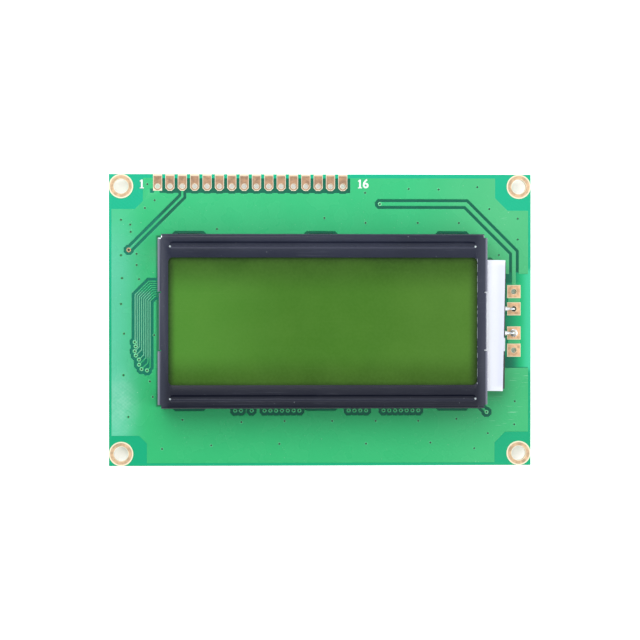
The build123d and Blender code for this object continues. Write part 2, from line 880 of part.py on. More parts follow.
# Light guide, from under the glass out to the light emitters
strip_x = backlight_x - lead_run
guide_end = strip_x - strip_thickness - led_depth - led_gap
guide_length = guide_end - glass_edge
with BuildPart() as light_guide:
    with BuildSketch(Plane.XY.offset(guide_base)):
        with Locations((glass_edge, guide_y)):
            Rectangle(guide_length, guide_width, align=(Align.MIN, Align.CENTER))
    extrude(amount=guide_thickness)
light_guide.part.label = "light_guide"
export_step(light_guide.part, "parts/light_guide.step")

# Reflector film, folded up round three sides of the light guide
with BuildPart() as reflector_film:
    with BuildSketch(Plane.XY.offset(copper_top)):
        with Locations((glass_edge - reflector_thickness, guide_y)):
            Rectangle(
                guide_length + reflector_thickness,
                guide_width + 2 * reflector_thickness,
                align=(Align.MIN, Align.CENTER),
            )
    extrude(amount=guide_top - copper_top)
    add(light_guide.part, mode=Mode.SUBTRACT)
reflector_film.part.label = "reflector_film"
export_step(reflector_film.part, "parts/reflector_film.step")

# Diffuser film between the light guide and the rear polarizer
with BuildPart() as diffuser_film:
    with BuildSketch(Plane.XY.offset(guide_top)):
        with Locations((display_x, guide_y)):
            Rectangle(glass_length, guide_width)
    extrude(amount=diffuser_thickness)
diffuser_film.part.label = "diffuser_film"
export_step(diffuser_film.part, "parts/diffuser_film.step")

# White film over the light guide's end, laid on slightly askew
cover_start = display_x + glass_length / 2 + cover_gap
cover_end = guide_end + cover_overhang
with BuildPart() as tab_cover_film:
    with BuildSketch(Plane.XY.offset(guide_top)):
        with Locations(((cover_start + cover_end) / 2, guide_y)):
            Rectangle(
                cover_end - cover_start,
                guide_width + 2 * reflector_thickness,
                rotation=cover_turn,
            )
    extrude(amount=cover_thickness)
tab_cover_film.part.label = "tab_cover_film"
export_step(tab_cover_film.part, "parts/tab_cover_film.step")

# Strip board with the light emitters, standing on the copper at the light guide's end
strip_slope = tan(radians(strip_turn))
strip_direction = (cos(radians(strip_turn)), sin(radians(strip_turn)), 0)
strip_length = guide_width - 2 * strip_inset
strip_plane = Plane(origin=(strip_x, guide_y, copper_top), x_dir=strip_direction)
with BuildPart() as led_strip_board:
    with BuildSketch(strip_plane):
        Rectangle(strip_thickness, strip_length, align=(Align.MAX, Align.CENTER))
    extrude(amount=guide_top - strip_top_gap - copper_top)
led_strip_board.part.label = "led_strip_board"
export_step(led_strip_board.part, "parts/led_strip_board.step")

led_count = int(strip_length / led_pitch)
with BuildPart() as backlight_leds:
    with BuildSketch(strip_plane.offset(led_lift)):
        with Locations((-strip_thickness - led_depth / 2, 0)):
            with GridLocations(0, led_pitch, 1, led_count):
                Rectangle(led_depth, led_length)
    extrude(amount=led_height)
backlight_leds.part.label = "backlight_leds"
export_step(backlight_leds.part, "parts/backlight_leds.step")

# Leads from the strip board down through the two inner backlight holes
lead_points = backlight_points[1:3]
lead_z = board_top + lead_height
leads = []
for name, (hole_x, hole_y) in zip(("anode_lead", "cathode_lead"), lead_points):
    start_x = strip_x - (hole_y - guide_y) * strip_slope
    with BuildPart() as lead:
        with BuildLine(Plane.XZ.offset(-hole_y)) as lead_path:
            FilletPolyline(
                (start_x, lead_z),
                (hole_x, lead_z),
                (hole_x, -lead_tail),
                radius=lead_bend,
            )
        with BuildSketch(Plane.YZ.offset(start_x)):
            with Locations((hole_y, lead_z)):
                Rectangle(lead_width, lead_width)
        sweep()
        add(led_strip_board.part, mode=Mode.SUBTRACT)
    lead.part.label = name
    export_step(lead.part, f"parts/{name}.step")
    leads.append(lead.part)

# Solder: joints on the strip board and on the back, and the cathode's hole filled
solder_tip = lead_width / 2 + solder_neck
filled_point = lead_points[1]
joints = [(Location((*filled_point, copper_top)), hole_solder_radius)]
for x, y in lead_points:
    strip_side = strip_x - (y - guide_y) * strip_slope
    joints.append((Location((x, y, -copper_thickness), (180, 0, 0)), hole_solder_radius))
    joints.append((Location((strip_side, y, lead_z), (0, 90, 0)), strip_solder_radius))
with BuildPart() as lead_solder:
    for place, radius in joints:
        cut = (radius - solder_tip, solder_height - solder_rim)
        with Locations(place):
            add(mound(radius, solder_height, solder_sides, [cut]))
    with BuildSketch(Plane.XY.offset(-copper_thickness)):
        polygons([filled_point], backlight_hole_diameter / 2, bore_sides)
    extrude(amount=copper_top + copper_thickness)
    for part in (*leads, led_strip_board.part):
        add(part, mode=Mode.SUBTRACT)
lead_solder.part.label = "lead_solder"
export_step(lead_solder.part, "parts/lead_solder.step")


def dome(radius, centres):
    """Epoxy blobs on the board's back, each a shallow dome with a level top."""
    cuts = [(inward * radius, down * blob_height) for inward, down in blob_cuts]
    with BuildPart() as blobs_there:
        with Locations(*[Location((*centre, 0), (180, 0, 0)) for centre in centres]):
            add(mound(radius, blob_height, blob_sides, cuts))
    return blobs_there


# Epoxy blobs
controller_blob = dome(controller_radius, [controller_centre])
controller_blob.part.label = "controller_blob"
export_step(controller_blob.part, "parts/controller_blob.step")

driver_blobs = dome(driver_radius, driver_centres)
driver_blobs.part.label = "driver_blobs"
export_step(driver_blobs.part, "parts/driver_blobs.step")

# Chip resistors and capacitors on the back
chip_groups = [
    ("chip_resistors", chip_points, resistor_height),
    ("chip_capacitors", capacitors, capacitor_height),
]
for name, points, height in chip_groups:
    with BuildPart() as chips:
        with BuildSketch(Plane.XY.offset(-copper_thickness)):
            with Locations(*points):
                Rectangle(chip_length, chip_width)
        extrude(amount=-height)
    chips.part.label = name
    export_step(chips.part, f"parts/{name}.step")

# Solder at the ends of those chips
chip_solder_length = chip_land_length - chip_land_inset
with BuildPart() as chip_solder:
    for _, points, height in chip_groups:
        for x, y in points:
            with BuildSketch(Plane.XZ.offset(-y - chip_width / 2)):
                for side in (-1, 1):
                    inner = x + side * chip_length / 2
                    Polygon(
                        (inner, -copper_thickness),
                        (inner + side * chip_solder_length, -copper_thickness),
                        (inner, -copper_thickness - chip_fillet_share * height),
                        align=None,
                    )
            extrude(amount=chip_width)
chip_solder.part.label = "chip_solder"
export_step(chip_solder.part, "parts/chip_solder.step")
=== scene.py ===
"""Looks for a character display module: a green board, a black sheet bezel over a green window,
bare copper lands, a white-filmed backlight and epoxy blobs on the back.

Lengths in this file are in millimetres unless a name says otherwise. mm() turns them into metres.
"""

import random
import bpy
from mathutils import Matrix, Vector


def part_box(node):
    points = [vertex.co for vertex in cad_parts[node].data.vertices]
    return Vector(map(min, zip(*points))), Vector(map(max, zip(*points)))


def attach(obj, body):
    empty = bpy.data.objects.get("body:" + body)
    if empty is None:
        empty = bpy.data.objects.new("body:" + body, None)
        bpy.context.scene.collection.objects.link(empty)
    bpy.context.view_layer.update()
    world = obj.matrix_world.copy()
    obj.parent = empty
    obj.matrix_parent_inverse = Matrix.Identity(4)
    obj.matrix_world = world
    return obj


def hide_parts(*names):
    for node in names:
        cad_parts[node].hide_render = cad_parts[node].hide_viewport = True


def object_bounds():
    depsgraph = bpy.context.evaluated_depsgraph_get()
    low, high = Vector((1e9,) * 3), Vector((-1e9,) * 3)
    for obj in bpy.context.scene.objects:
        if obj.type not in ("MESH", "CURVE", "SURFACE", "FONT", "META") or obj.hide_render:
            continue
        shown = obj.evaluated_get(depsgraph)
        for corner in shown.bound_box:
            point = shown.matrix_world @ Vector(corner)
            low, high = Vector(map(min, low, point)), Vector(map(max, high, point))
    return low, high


bl_info = {
    "name": "Character display module",
    "version": (1, 0, 0),
    "blender": (4, 5, 0),
    "location": "3D View > Sidebar > Display",
    "description": "Dresses the packed display module and sets its stage",
    "category": "Object",
}

from math import atan2, hypot, pi, radians, sin

import bmesh
import bpy
from bpy.props import FloatProperty, FloatVectorProperty, IntVectorProperty, PointerProperty
from mathutils import Matrix, Vector

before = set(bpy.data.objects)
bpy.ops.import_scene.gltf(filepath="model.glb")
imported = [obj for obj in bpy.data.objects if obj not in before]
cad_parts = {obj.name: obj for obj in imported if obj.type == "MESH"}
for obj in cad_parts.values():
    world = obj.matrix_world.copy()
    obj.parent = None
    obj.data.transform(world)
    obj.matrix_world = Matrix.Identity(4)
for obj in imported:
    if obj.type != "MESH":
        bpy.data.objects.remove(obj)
CAD_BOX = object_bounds()

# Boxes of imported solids, in metres
BEZEL_LOW, BEZEL_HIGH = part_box("bezel")
FILM_LOW, FILM_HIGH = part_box("front_polarizer")
COVER_LOW, COVER_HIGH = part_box("tab_cover_film")

# Levels and half sizes in millimetres
FRONT_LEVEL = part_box("front_copper")[1].z * 1000
BACK_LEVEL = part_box("rear_copper")[0].z * 1000
STRIP_FACE_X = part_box("led_strip_board")[1].x * 1000
BOARD_HALF_X = CAD_BOX[1][0] * 1000
BOARD_HALF_Y = CAD_BOX[1][1] * 1000
BEZEL_HALF_X = (BEZEL_HIGH.x - BEZEL_LOW.x) * 500
BEZEL_HALF_Y = (BEZEL_HIGH.y - BEZEL_LOW.y) * 500
BEZEL_LAP_X = 0.4
BEZEL_LAP_Y = 0.75
WINDOW_HALF_X = (FILM_HIGH.x - FILM_LOW.x) * 500 - BEZEL_LAP_X
WINDOW_HALF_Y = (FILM_HIGH.y - FILM_LOW.y) * 500 - BEZEL_LAP_Y

# Places on the board, in millimetres from the middle of the hole pattern
MOUNT_HOLES = (41.0, 27.5)
FIRST_PIN = (-33.5, 27.5)
PIN_PITCH = 2.54
PIN_LAND_HALF = 0.925
FIRST_NUMBER = (-36.72, 27.05)
LAST_NUMBER = (8.14, 27.12)
DIGIT_STEP = 0.58
DISPLAY = (0.1, -0.2)
RIB_Y = 15.57
RIB_END = 31.15
BACKLIGHT_X = 40.0
BACKLIGHT_OFFSETS = (2.5, 6.05)
BACKLIGHT_LAND = (1.4, 1.35)
LEAD_LEVEL = 3.1
PALE_CORE_Y = -5.0
DRIVER_BLOB_RADIUS = 6.5
CORNER_CLEARING = (35.0, 20.8)
POUR_END_X = 42.9
POUR_TOP = 29.15
POUR_BOTTOM = -29.4
STITCHING_VIAS = [
    (-34.1, 24.6), (-36.1, 23.0), (-41.0, 20.6), (-39.1, 19.6), (-39.0, 18.1), (-41.0, 13.3),
    (-37.8, 13.6), (-37.8, 11.3), (-40.8, 8.6), (-37.3, 8.4), (-41.0, 3.3), (-35.6, 27.9),
    (-21.3, 18.7), (0.8, 21.0), (9.3, 20.0), (9.2, 26.2), (18.2, 27.0), (24.4, 26.9),
    (32.4, 27.4), (20.1, 20.0), (28.6, 20.0), (34.9, 22.9), (40.8, 20.9), (40.8, 16.6),
    (36.9, 13.4), (-40.4, -2.8), (-34.2, -3.1), (-40.5, -11.3), (-35.1, -12.6), (-34.5, -15.8),
    (-39.5, -19.9), (-28.4, -20.5), (-16.3, -21.0), (-7.4, -20.8), (-32.6, -26.5), (-22.5, -25.8),
    (-8.5, -25.5), (2.4, -20.8), (11.4, -20.8), (20.2, -20.8), (28.1, -20.4), (40.2, -16.8),
    (40.1, -21.6), (34.6, -23.4), (31.8, -26.5), (22.7, -25.3), (9.4, -25.5),
]
BUS_VIAS = [
    (-38.19, -4.54), (-37.99, -5.42), (-38.19, -6.42), (-37.96, -7.28),
    (-37.33, -8.13), (-37.31, -9.18), (-36.79, -10.07), (-35.67, -10.36),
]
ROW_VIA_Y = -18.63
ROW_VIAS = [
    (start + i * 1.2, ROW_VIA_Y)
    for start, count in ((-17.6, 2), (-14.2, 1), (-11.55, 7), (5.8, 4), (13.0, 7))
    for i in range(count)
]
CONTRAST_VIA = (-39.41, 14.39)
SUPPLY_VIA = (12.24, 23.89)
CORNER_VIA = (34.33, -19.0)
RING_HEIGHT = 0.035
LOW_RING_HEIGHT = 0.02
HOLE_LIFT = 0.006
INK_LIFT = 0.004

# Marks, painted glare, a dark disc, painted shadows and a painted highlight on the front, each at the middle
# of its patch
SCUFFS = ((41.0, -11.8, 2.6), (38.0, -18.6, 4.5), (37.0, 21.2, 2.6))
GLARE_PATCH = (-41.5, -10.8)
DARK_DISC = (35.0, 12.1)
COVER_SHADOW = (35.6, -14.8)
BUS_MIDDLE = (-36.8, -1.0)


def mm(*values):
    """Millimetres as metres: one number, or a Vector of three."""
    if len(values) == 1:
        return values[0] * 0.001
    return Vector(values) * 0.001


def linear(*rgb):
    """A screen colour of 0 to 255 as the linear colour that the shaders take."""
    parts = [value / 255 for value in rgb]
    return tuple(p / 12.92 if p <= 0.04045 else ((p + 0.055) / 1.055) ** 2.4 for p in parts)


class Nodes:
    """Short ways to wire the nodes of one tree, whose patterns follow one place vector."""

    def __init__(self, tree, place):
        self.tree = tree
        self.place = place

    def feed(self, socket, value):
        """Give a socket a number, a screen colour or another node's output."""
        if isinstance(value, bpy.types.NodeSocket):
            self.tree.links.new(value, socket)
        elif socket.type == "RGBA":
            socket.default_value = (*linear(*value), 1.0)
        else:
            socket.default_value = value

    def made(self, kind, *values):
        """A new node with its first inputs fed."""
        node = self.tree.nodes.new("ShaderNode" + kind)
        for socket, value in zip(node.inputs, values):
            self.feed(socket, value)
        return node

    def calc(self, operation, *values):
        """What one Math node gives."""
        node = self.made("Math", *values)
        node.operation = operation
        return node.outputs[0]

    def plus(self, first, second):
        """The sum of two values."""
        return self.calc("ADD", first, second)

    def minus(self, first, second):
        """The first value less the second."""
        return self.calc("SUBTRACT", first, second)

    def times(self, first, second):
        """The product of two values."""
        return self.calc("MULTIPLY", first, second)

    def most(self, first, *others):
        """The largest of some values."""
        for other in others:
            first = self.calc("MAXIMUM", first, other)
        return first

    def off(self, value, centre=0.0):
        """How far a value is from a centre, to either side."""
        return self.calc("ABSOLUTE", self.minus(value, centre) if centre else value)

    def axes(self, vector=None):
        """The X, Y and Z of a place."""
        return tuple(self.made("SeparateXYZ", vector or self.place).outputs)

    def stretched(self, scale, turn=0.0):
        """The place, turned about Z and scaled."""
        node = self.made("Mapping", self.place)
        node.inputs["Scale"].default_value = scale
        node.inputs["Rotation"].default_value = (0, 0, turn)
        return node.outputs[0]

    def noise(self, size, detail=2.0, vector=None):
        """Noise from 0 to 1 with features of about the given size."""
        node = self.made("TexNoise", vector or self.place)
        node.inputs["Scale"].default_value = 1.0 / size
        node.inputs["Detail"].default_value = detail
        return node.outputs["Fac"]

    def step(self, value, low, high, start=0.0, end=1.0):
        """Ease from start to end while the value goes from low to high."""
        node = self.made("MapRange", value, low, high, start, end)
        node.interpolation_type = "SMOOTHSTEP"
        return node.outputs["Result"]

    def mix(self, share, first, second):
        """Two colours mixed by a share. A colour is another node's output or 0 to 255 for each part."""
        node = self.made("Mix", share)
        node.data_type = "RGBA"
        self.feed(node.inputs[6], first)
        self.feed(node.inputs[7], second)
        return node.outputs[2]

    def near(self, x, y, centre_x, centre_y):
        """Distance in the board's plane from a centre."""
        across = self.minus(x, centre_x)
        along = self.minus(y, centre_y)
        return self.calc("SQRT", self.plus(self.times(across, across), self.times(along, along)))

    def facing(self):
        """How far the surface's own normal points along X, Y and Z."""
        return self.axes(self.made("NewGeometry").outputs["Normal"])

    def bump(self, height, depth):
        """Raise the surface by a height pattern, to a depth in millimetres."""
        node = self.made("Bump")
        node.inputs["Distance"].default_value = depth * 0.001
        self.feed(node.inputs["Height"], height)
        return node.outputs[0]


class Wiring(Nodes):
    """A material, its nodes and its tone so far. Patterns are measured in millimetres."""

    def __init__(self, name, colour=(0.8, 0.8, 0.8), roughness=0.5, metallic=0.0, **sockets):
        self.tone = None
        self.material = bpy.data.materials.new(name)
        self.material.use_nodes = True
        tree = self.material.node_tree
        self.shader = tree.nodes["Principled BSDF"]
        self.shader.inputs["Base Color"].default_value = (*colour, 1.0)
        self.shader.inputs["Roughness"].default_value = roughness
        self.shader.inputs["Metallic"].default_value = metallic
        for socket, value in sockets.items():
            self.shader.inputs[socket.replace("_", " ")].default_value = value
        super().__init__(tree, None)
        scale = self.made("VectorMath", self.made("TexCoord").outputs["Object"])
        scale.operation = "SCALE"
        scale.inputs["Scale"].default_value = 1000.0
        self.place = scale.outputs[0]

    def tint(self, share, colour):
        """Mix a share of a colour into the material's tone."""
        self.tone = self.mix(share, self.tone, colour)

    def set(self, **sockets):
        """Wire outputs to the shader's sockets and give the material back."""
        for socket, value in sockets.items():
            self.feed(self.shader.inputs[socket.replace("_", " ")], value)
        return self.material


def scratches(w, length, width, turn, amount):
    """Fine lines in one direction, from 0 to 1."""
    lines = w.noise(1.0, 1.0, w.stretched((1 / length, 1 / width, 1.0), turn))
    return w.step(lines, amount, amount + 0.06)


def board_weave(w):
    """The faint glass weave that shows through mask and laminate."""
    x, y, _ = w.axes()
    across = w.calc("SINE", w.times(x, 2 * pi / 0.95))
    along = w.calc("SINE", w.times(y, 2 * pi / 0.8))
    return w.times(across, along)


def lit_places(w, x, y):
    """Where light comes through bare laminate, and how much of that is right of the lands."""
    far_x = w.off(x)
    far_y = w.off(y)
    corner_x, corner_y = CORNER_CLEARING
    beside = w.step(far_x, corner_x - 0.2, corner_x + 0.2)
    in_corner = w.times(beside, w.step(far_y, corner_y - 0.2, corner_y + 0.2))
    at_right = w.times(w.step(x, 37.6, 42.6, 0.5, 1.0), w.step(far_y, 10.0, 9.6))
    at_right = w.times(at_right, w.step(x, 36.0, 37.4))
    beyond_lands = w.times(w.step(far_y, 7.2, 7.9), w.step(x, 42.2, 38.6))
    at_right = w.times(at_right, w.step(beyond_lands, 0.0, 1.0, 1.0, 0.3))
    at_top = w.step(y, POUR_TOP - 0.05, POUR_TOP + 0.05)
    at_ends = w.most(at_top, w.step(y, POUR_BOTTOM + 0.05, POUR_BOTTOM - 0.05))
    at_rim = w.most(w.step(far_x, POUR_END_X - 0.05, POUR_END_X + 0.05), at_ends)
    return w.most(in_corner, at_right, at_rim), at_right


def laminate_finish(looks):
    """Laminate under solder mask: bright where light comes through it, dark beside copper."""
    w = Wiring("green_laminate", roughness=0.28, Specular_IOR_Level=0.3)
    x, y, _ = w.axes()
    _, _, upward = w.facing()
    bright, at_right = lit_places(w, x, y)
    lit = w.mix(w.step(x, -43, 43), looks.laminate_left, looks.laminate_right)
    lit = w.mix(w.step(y, -10, 25, 0.6, 0.0), lit, (0, 150, 96))
    lit = w.mix(at_right, lit, looks.laminate_strip)
    right_rim = w.times(w.step(x, 41.2, 43.2, 0.0, 0.9), w.step(w.off(y), 11.0, 9.8))
    lit = w.mix(right_rim, lit, (62, 196, 148))
    shade = w.mix(w.noise(9.0), (0, 84, 60), (0, 104, 78))
    shade = w.mix(w.step(x, -32.0, -34.0, 0.0, 0.8), shade, (4, 118, 92))
    face = w.mix(bright, shade, lit)
    fibre = w.noise(0.16, 3.0, w.stretched((0.12, 0.12, 1.0)))
    edge = w.mix(fibre, (128, 140, 78), (196, 200, 142))
    side = w.step(w.off(upward), 0.7, 0.5)
    height = w.plus(w.times(board_weave(w), 0.5), w.noise(0.35))
    rough = w.step(side, 0.0, 1.0, 0.26, 0.75)
    return w.set(Base_Color=w.mix(side, face, edge), Roughness=rough, Normal=w.bump(height, 0.006))


def front_marks(w, weave, glare_patch):
    """Add what only the front's mask shows: painted glare with the weave in it, a dark disc, painted shadows
    and a painted highlight on the left end's traces.
    """
    x, y, _ = w.axes()
    # Painted glare at the lower left, with the weave showing in it
    woven = w.times(w.step(weave, -0.7, 0.8, 0.31, 0.44), w.step(w.noise(1.8, 3.0), 0.3, 0.65, 0.45, 1.1))
    w.tint(w.times(glare_patch, woven), (150, 206, 182))
    # A dark green disc just above the white cover's upper end
    dark_disc = w.step(w.near(x, y, *DARK_DISC), 0.85, 0.75, 0.0, 0.9)
    w.tint(dark_disc, (14, 96, 66))
    from_cover = w.near(x, w.times(y, 2.0), COVER_SHADOW[0], COVER_SHADOW[1] * 2)
    w.tint(w.step(from_cover, 3.4, 0.8, 0.0, 0.4), (24, 108, 64))
    # Painted highlight: the traces at the left end paler, for the light that their slopes catch
    bus_x = w.off(x, BUS_MIDDLE[0])
    bus_y = w.off(y, BUS_MIDDLE[1])
    bus_highlight = w.times(w.step(bus_x, 2.05, 1.75), w.step(bus_y, 7.4, 6.2, 0.0, 0.6))
    w.tint(bus_highlight, (118, 178, 152))
    # Painted shadow: a dark line on the board just left of the bezel
    from_bezel = w.minus(BEZEL_LOW.x * 1000, x)
    beside = w.times(w.step(from_bezel, 0.6, 0.1, 0.0, 0.7), w.step(from_bezel, -1.0, -0.5))
    beside = w.times(beside, w.step(w.off(y, DISPLAY[1]), BEZEL_HALF_Y + 0.05, BEZEL_HALF_Y - 0.35))
    w.tint(beside, (20, 70, 52))


def mask_finish(name, looks):
    """Glossy solder mask over copper, with pooled tone, painted glare at both ends, weave, fine scratches
    and dust.
    """
    w = Wiring(name, roughness=0.2, Specular_IOR_Level=0.3)
    x, y, _ = w.axes()
    w.tone = w.mix(w.step(y, -24, 22), looks.mask_bottom, looks.mask_top)
    # Painted glare: the mask paler at the left end, most away from the header
    left_glare = w.times(w.step(x, -35.0, -43.0, 0.0, 0.85), w.step(y, 26, 10, 0.3, 1.0))
    w.tint(left_glare, looks.mask_left_glare)
    # Painted glare: the mask paler towards the right end, most towards the header
    right_glare = w.times(w.step(x, 16, 38, 0.0, 0.9), w.step(y, -18, 18, 0.45, 1.0))
    w.tint(right_glare, looks.mask_right_glare)
    w.tint(w.step(w.noise(7.0, 3.0), 0.35, 0.75, 0.0, 0.16), (40, 164, 100))
    scuffs = [w.step(w.near(x, y, *place), radius, radius * 0.6) for *place, radius in SCUFFS]
    rubbed = w.most(*scuffs)
    worn = w.times(rubbed, scratches(w, 3.5, 0.14, 0.35, 0.66))
    w.tint(w.times(worn, 0.4), (176, 226, 196))
    dust = w.step(w.noise(0.32, 1.0), 0.76, 0.8)
    w.tint(w.times(dust, 0.3), (205, 226, 205))
    weave = board_weave(w)
    glare_patch = 0.0
    if name == "front_mask":
        # Where the painted glare lies on the front
        glare_patch = w.step(w.near(x, w.times(y, 0.62), *GLARE_PATCH), 5.2, 0.8)
        front_marks(w, weave, glare_patch)
    patch = w.most(w.step(w.noise(11.0, 1.0), 0.45, 0.7, 0.0, 0.5), glare_patch)
    height = w.plus(w.times(w.times(weave, patch), 0.6), w.noise(1.6, 3.0))
    rough = w.step(w.noise(5.0), 0.3, 0.7, looks.mask_roughness, looks.mask_roughness + 0.1)
    rough = w.plus(rough, w.times(worn, 0.2))
    return w.set(Base_Color=w.tone, Roughness=rough, Normal=w.bump(height, 0.012))


def land_distances(w, kind):
    """How far a place is from the land's rim (0 at the middle, 1 at the rim) and from its hole's axis."""
    x, y, _ = w.axes()
    if kind == "mounting":
        hole = w.near(w.off(x), w.off(y), *MOUNT_HOLES)
        return w.calc("DIVIDE", hole, 2.5), hole
    if kind == "header":
        wrapped = w.calc("PINGPONG", w.minus(x, FIRST_PIN[0] - 20 * PIN_PITCH), PIN_PITCH / 2)
        below = w.calc("MINIMUM", w.minus(y, FIRST_PIN[1]), 0.0)
        hole = w.near(wrapped, y, 0.0, FIRST_PIN[1])
        rim = w.near(wrapped, below, 0.0, 0.0)
        return w.calc("DIVIDE", rim, PIN_LAND_HALF), hole
    away = w.off(y, DISPLAY[1])
    first = w.off(away, BACKLIGHT_OFFSETS[0])
    second = w.off(away, BACKLIGHT_OFFSETS[1])
    along = w.calc("MINIMUM", first, second)
    across = w.off(x, BACKLIGHT_X)
    rim = w.most(w.calc("DIVIDE", across, BACKLIGHT_LAND[0]), w.calc("DIVIDE", along, BACKLIGHT_LAND[1]))
    return rim, w.near(across, along, 0.0, 0.0)


def land_finish(name, kind, middle, rim_colour, hole_radius, edge_y=None):
    """Bare copper, brown in the middle, pale at the rim and round the hole."""
    w = Wiring(name, roughness=0.4, metallic=0.15)
    rim, hole = land_distances(w, kind)
    stain = w.noise(0.9, 3.0)
    w.tone = w.mix(w.step(stain, 0.35, 0.7), middle, [value * 0.8 for value in middle])
    w.tint(w.step(w.noise(0.25), 0.6, 0.75, 0.0, 0.4), (220, 180, 150))
    ring = w.step(hole, hole_radius + 0.16, hole_radius + 0.05)
    border = w.step(rim, 0.86, 0.93)
    pale = w.most(w.times(ring, 0.75), border)
    if edge_y is not None:
        _, y, _ = w.axes()
        pale = w.most(pale, w.step(y, edge_y - 0.08, edge_y + 0.08, 0.0, 0.8))
    w.tint(pale, rim_colour)
    height = w.plus(w.noise(0.3, 3.0), w.times(border, 0.8))
    return w.set(Base_Color=w.tone, Normal=w.bump(height, 0.01))


def painted_fold_highlights(w, from_middle, up):
    """Where the bezel's paint gets painted highlights: along the ribs and at the outer folds."""
    along_rib = w.step(from_middle, RIB_END, RIB_END - 0.3)
    upper = w.step(w.off(up, RIB_Y - 0.55), 0.3, 0.08, 0.0, 0.22)
    lower = w.step(w.off(up, -RIB_Y - 0.4), 0.42, 0.1, 0.0, 0.12)
    ribs = w.times(along_rib, w.most(upper, lower))
    return w.most(ribs, w.step(from_middle, BEZEL_HALF_X - 0.6, BEZEL_HALF_X - 0.25, 0.0, 0.9))


def bare_metal_and_glints(w, from_middle, up):
    """Where the bezel's metal shows, at two corners, the window's right cut edge and in specks, and painted
    glints at the rib ends.
    """
    x, y, z = w.axes()
    top = BEZEL_HIGH.y * 1000
    corner = w.plus(w.near(x, y, BEZEL_LOW.x * 1000 + 0.4, top - 0.55), w.times(w.noise(0.3), 0.5))
    chip = w.plus(w.near(x, y, BEZEL_HIGH.x * 1000 - 0.6, top - 0.5), w.times(w.noise(0.25), 0.5))
    bare = w.most(w.step(corner, 0.8, 0.6), w.step(chip, 0.6, 0.45, 0.0, 0.5))
    bare = w.times(bare, w.step(z, 9.6, 9.9))
    cut = w.step(w.off(w.minus(x, DISPLAY[0]), WINDOW_HALF_X), 0.1, 0.04)
    cut = w.times(cut, w.step(w.noise(0.8), 0.46, 0.54, 0.0, 0.4))
    cut = w.times(cut, w.step(w.off(up), 13.0, 12.6))
    bare = w.most(bare, cut)
    # Painted glints at the rib ends, drawn as bare metal
    for rib_end_y in (RIB_Y - 0.38, -RIB_Y - 0.17):
        glint = w.step(w.near(from_middle, up, RIB_END - 0.12, rib_end_y), 0.26, 0.12, 0.0, 0.8)
        bare = w.most(bare, glint)
    return w.most(bare, w.step(w.noise(0.4, 1.0), 0.79, 0.82, 0.0, 0.25))


def bezel_finish(looks):
    """Black satin paint with orange peel and fine rubs, painted sheen near the sides, painted shade away
    from the header, painted highlights on the folds and ribs, and bare metal where it is worn, with painted
    glints at the rib ends.
    """
    w = Wiring("bezel_paint", roughness=looks.bezel_roughness, Specular_IOR_Level=0.27)
    x, y, _ = w.axes()
    from_middle = w.off(x, DISPLAY[0])
    up = w.minus(y, DISPLAY[1])
    clouds = w.noise(12.0)
    w.tone = w.mix(clouds, looks.bezel_dark, looks.bezel_light)
    # Painted shade: the paint darker away from the header
    w.tint(w.step(y, -4.0, -16.0, 0.0, 0.85), looks.bezel_low_shade)
    # Painted sheen: the paint paler near the short sides
    side_sheen = w.step(from_middle, BEZEL_HALF_X - 2.6, BEZEL_HALF_X - 0.5, 0.0, 0.7)
    w.tint(side_sheen, looks.bezel_side_sheen)
    # Painted highlights along the ribs and at the outer folds
    w.tint(painted_fold_highlights(w, from_middle, up), (108, 109, 123))
    rubs = w.times(scratches(w, 9.0, 0.06, -0.5, 0.63), w.step(w.noise(8.0), 0.48, 0.6))
    w.tint(w.times(rubs, 0.12), (120, 124, 134))
    # Bare metal where worn, and the painted glints at the rib ends
    bare = bare_metal_and_glints(w, from_middle, up)
    w.tint(bare, (205, 214, 214))
    peel = w.plus(w.noise(0.22), w.times(w.noise(1.8), 1.6))
    rough = w.step(clouds, 0.3, 0.7, looks.bezel_roughness, looks.bezel_roughness + 0.08)
    rough = w.plus(rough, w.times(rubs, 0.15))
    return w.set(Base_Color=w.tone, Roughness=rough, Metallic=bare, Normal=w.bump(peel, 0.008))


def window_finish(looks):
    """The satin green film of the display, unlit, with painted shade at its edges, a soft mottle and faint
    wipe marks.
    """
    w = Wiring("window_film", roughness=0.42, Specular_IOR_Level=0.12)
    x, y, _ = w.axes()
    across = w.minus(x, DISPLAY[0])
    up = w.minus(y, DISPLAY[1])
    ends = w.mix(w.step(x, -10.0, 10.0), looks.window_left, looks.window_right)
    w.tone = w.mix(w.step(w.off(across), 4.0, 31.0), looks.window_middle, ends)
    # Darker towards the lower edge
    w.tint(w.step(up, -6.0, -12.5, 0.0, 0.75), (44, 72, 8))
    # Painted shade from the bezel towards the upper edge
    w.tint(w.step(up, 5.0, 12.5, 0.0, 0.8), (40, 70, 12))
    shadow = w.most(
        w.step(w.plus(across, WINDOW_HALF_X), 1.7, -0.1, 0.0, 0.72),
        w.step(w.minus(WINDOW_HALF_X, across), 2.0, -0.1, 0.0, 0.7),
        w.step(w.minus(WINDOW_HALF_Y, up), 1.6, -0.1, 0.0, 0.4),
        w.step(w.plus(up, WINDOW_HALF_Y), 1.0, 0.0, 0.0, 0.3),
    )
    w.tint(shadow, (20, 26, 10))
    w.tint(w.step(w.noise(9.0), 0.35, 0.7, 0.0, 0.1), (90, 132, 50))
    w.tint(w.step(w.noise(0.5), 0.3, 0.7, 0.0, 0.07), (96, 140, 60))
    w.tint(w.times(scratches(w, 22.0, 0.12, 0.9, 0.66), 0.02), (150, 180, 120))
    rough = w.step(w.noise(6.0), 0.3, 0.7, 0.36, 0.48)
    return w.set(Base_Color=w.tone, Roughness=rough, Normal=w.bump(w.noise(0.12), 0.003))


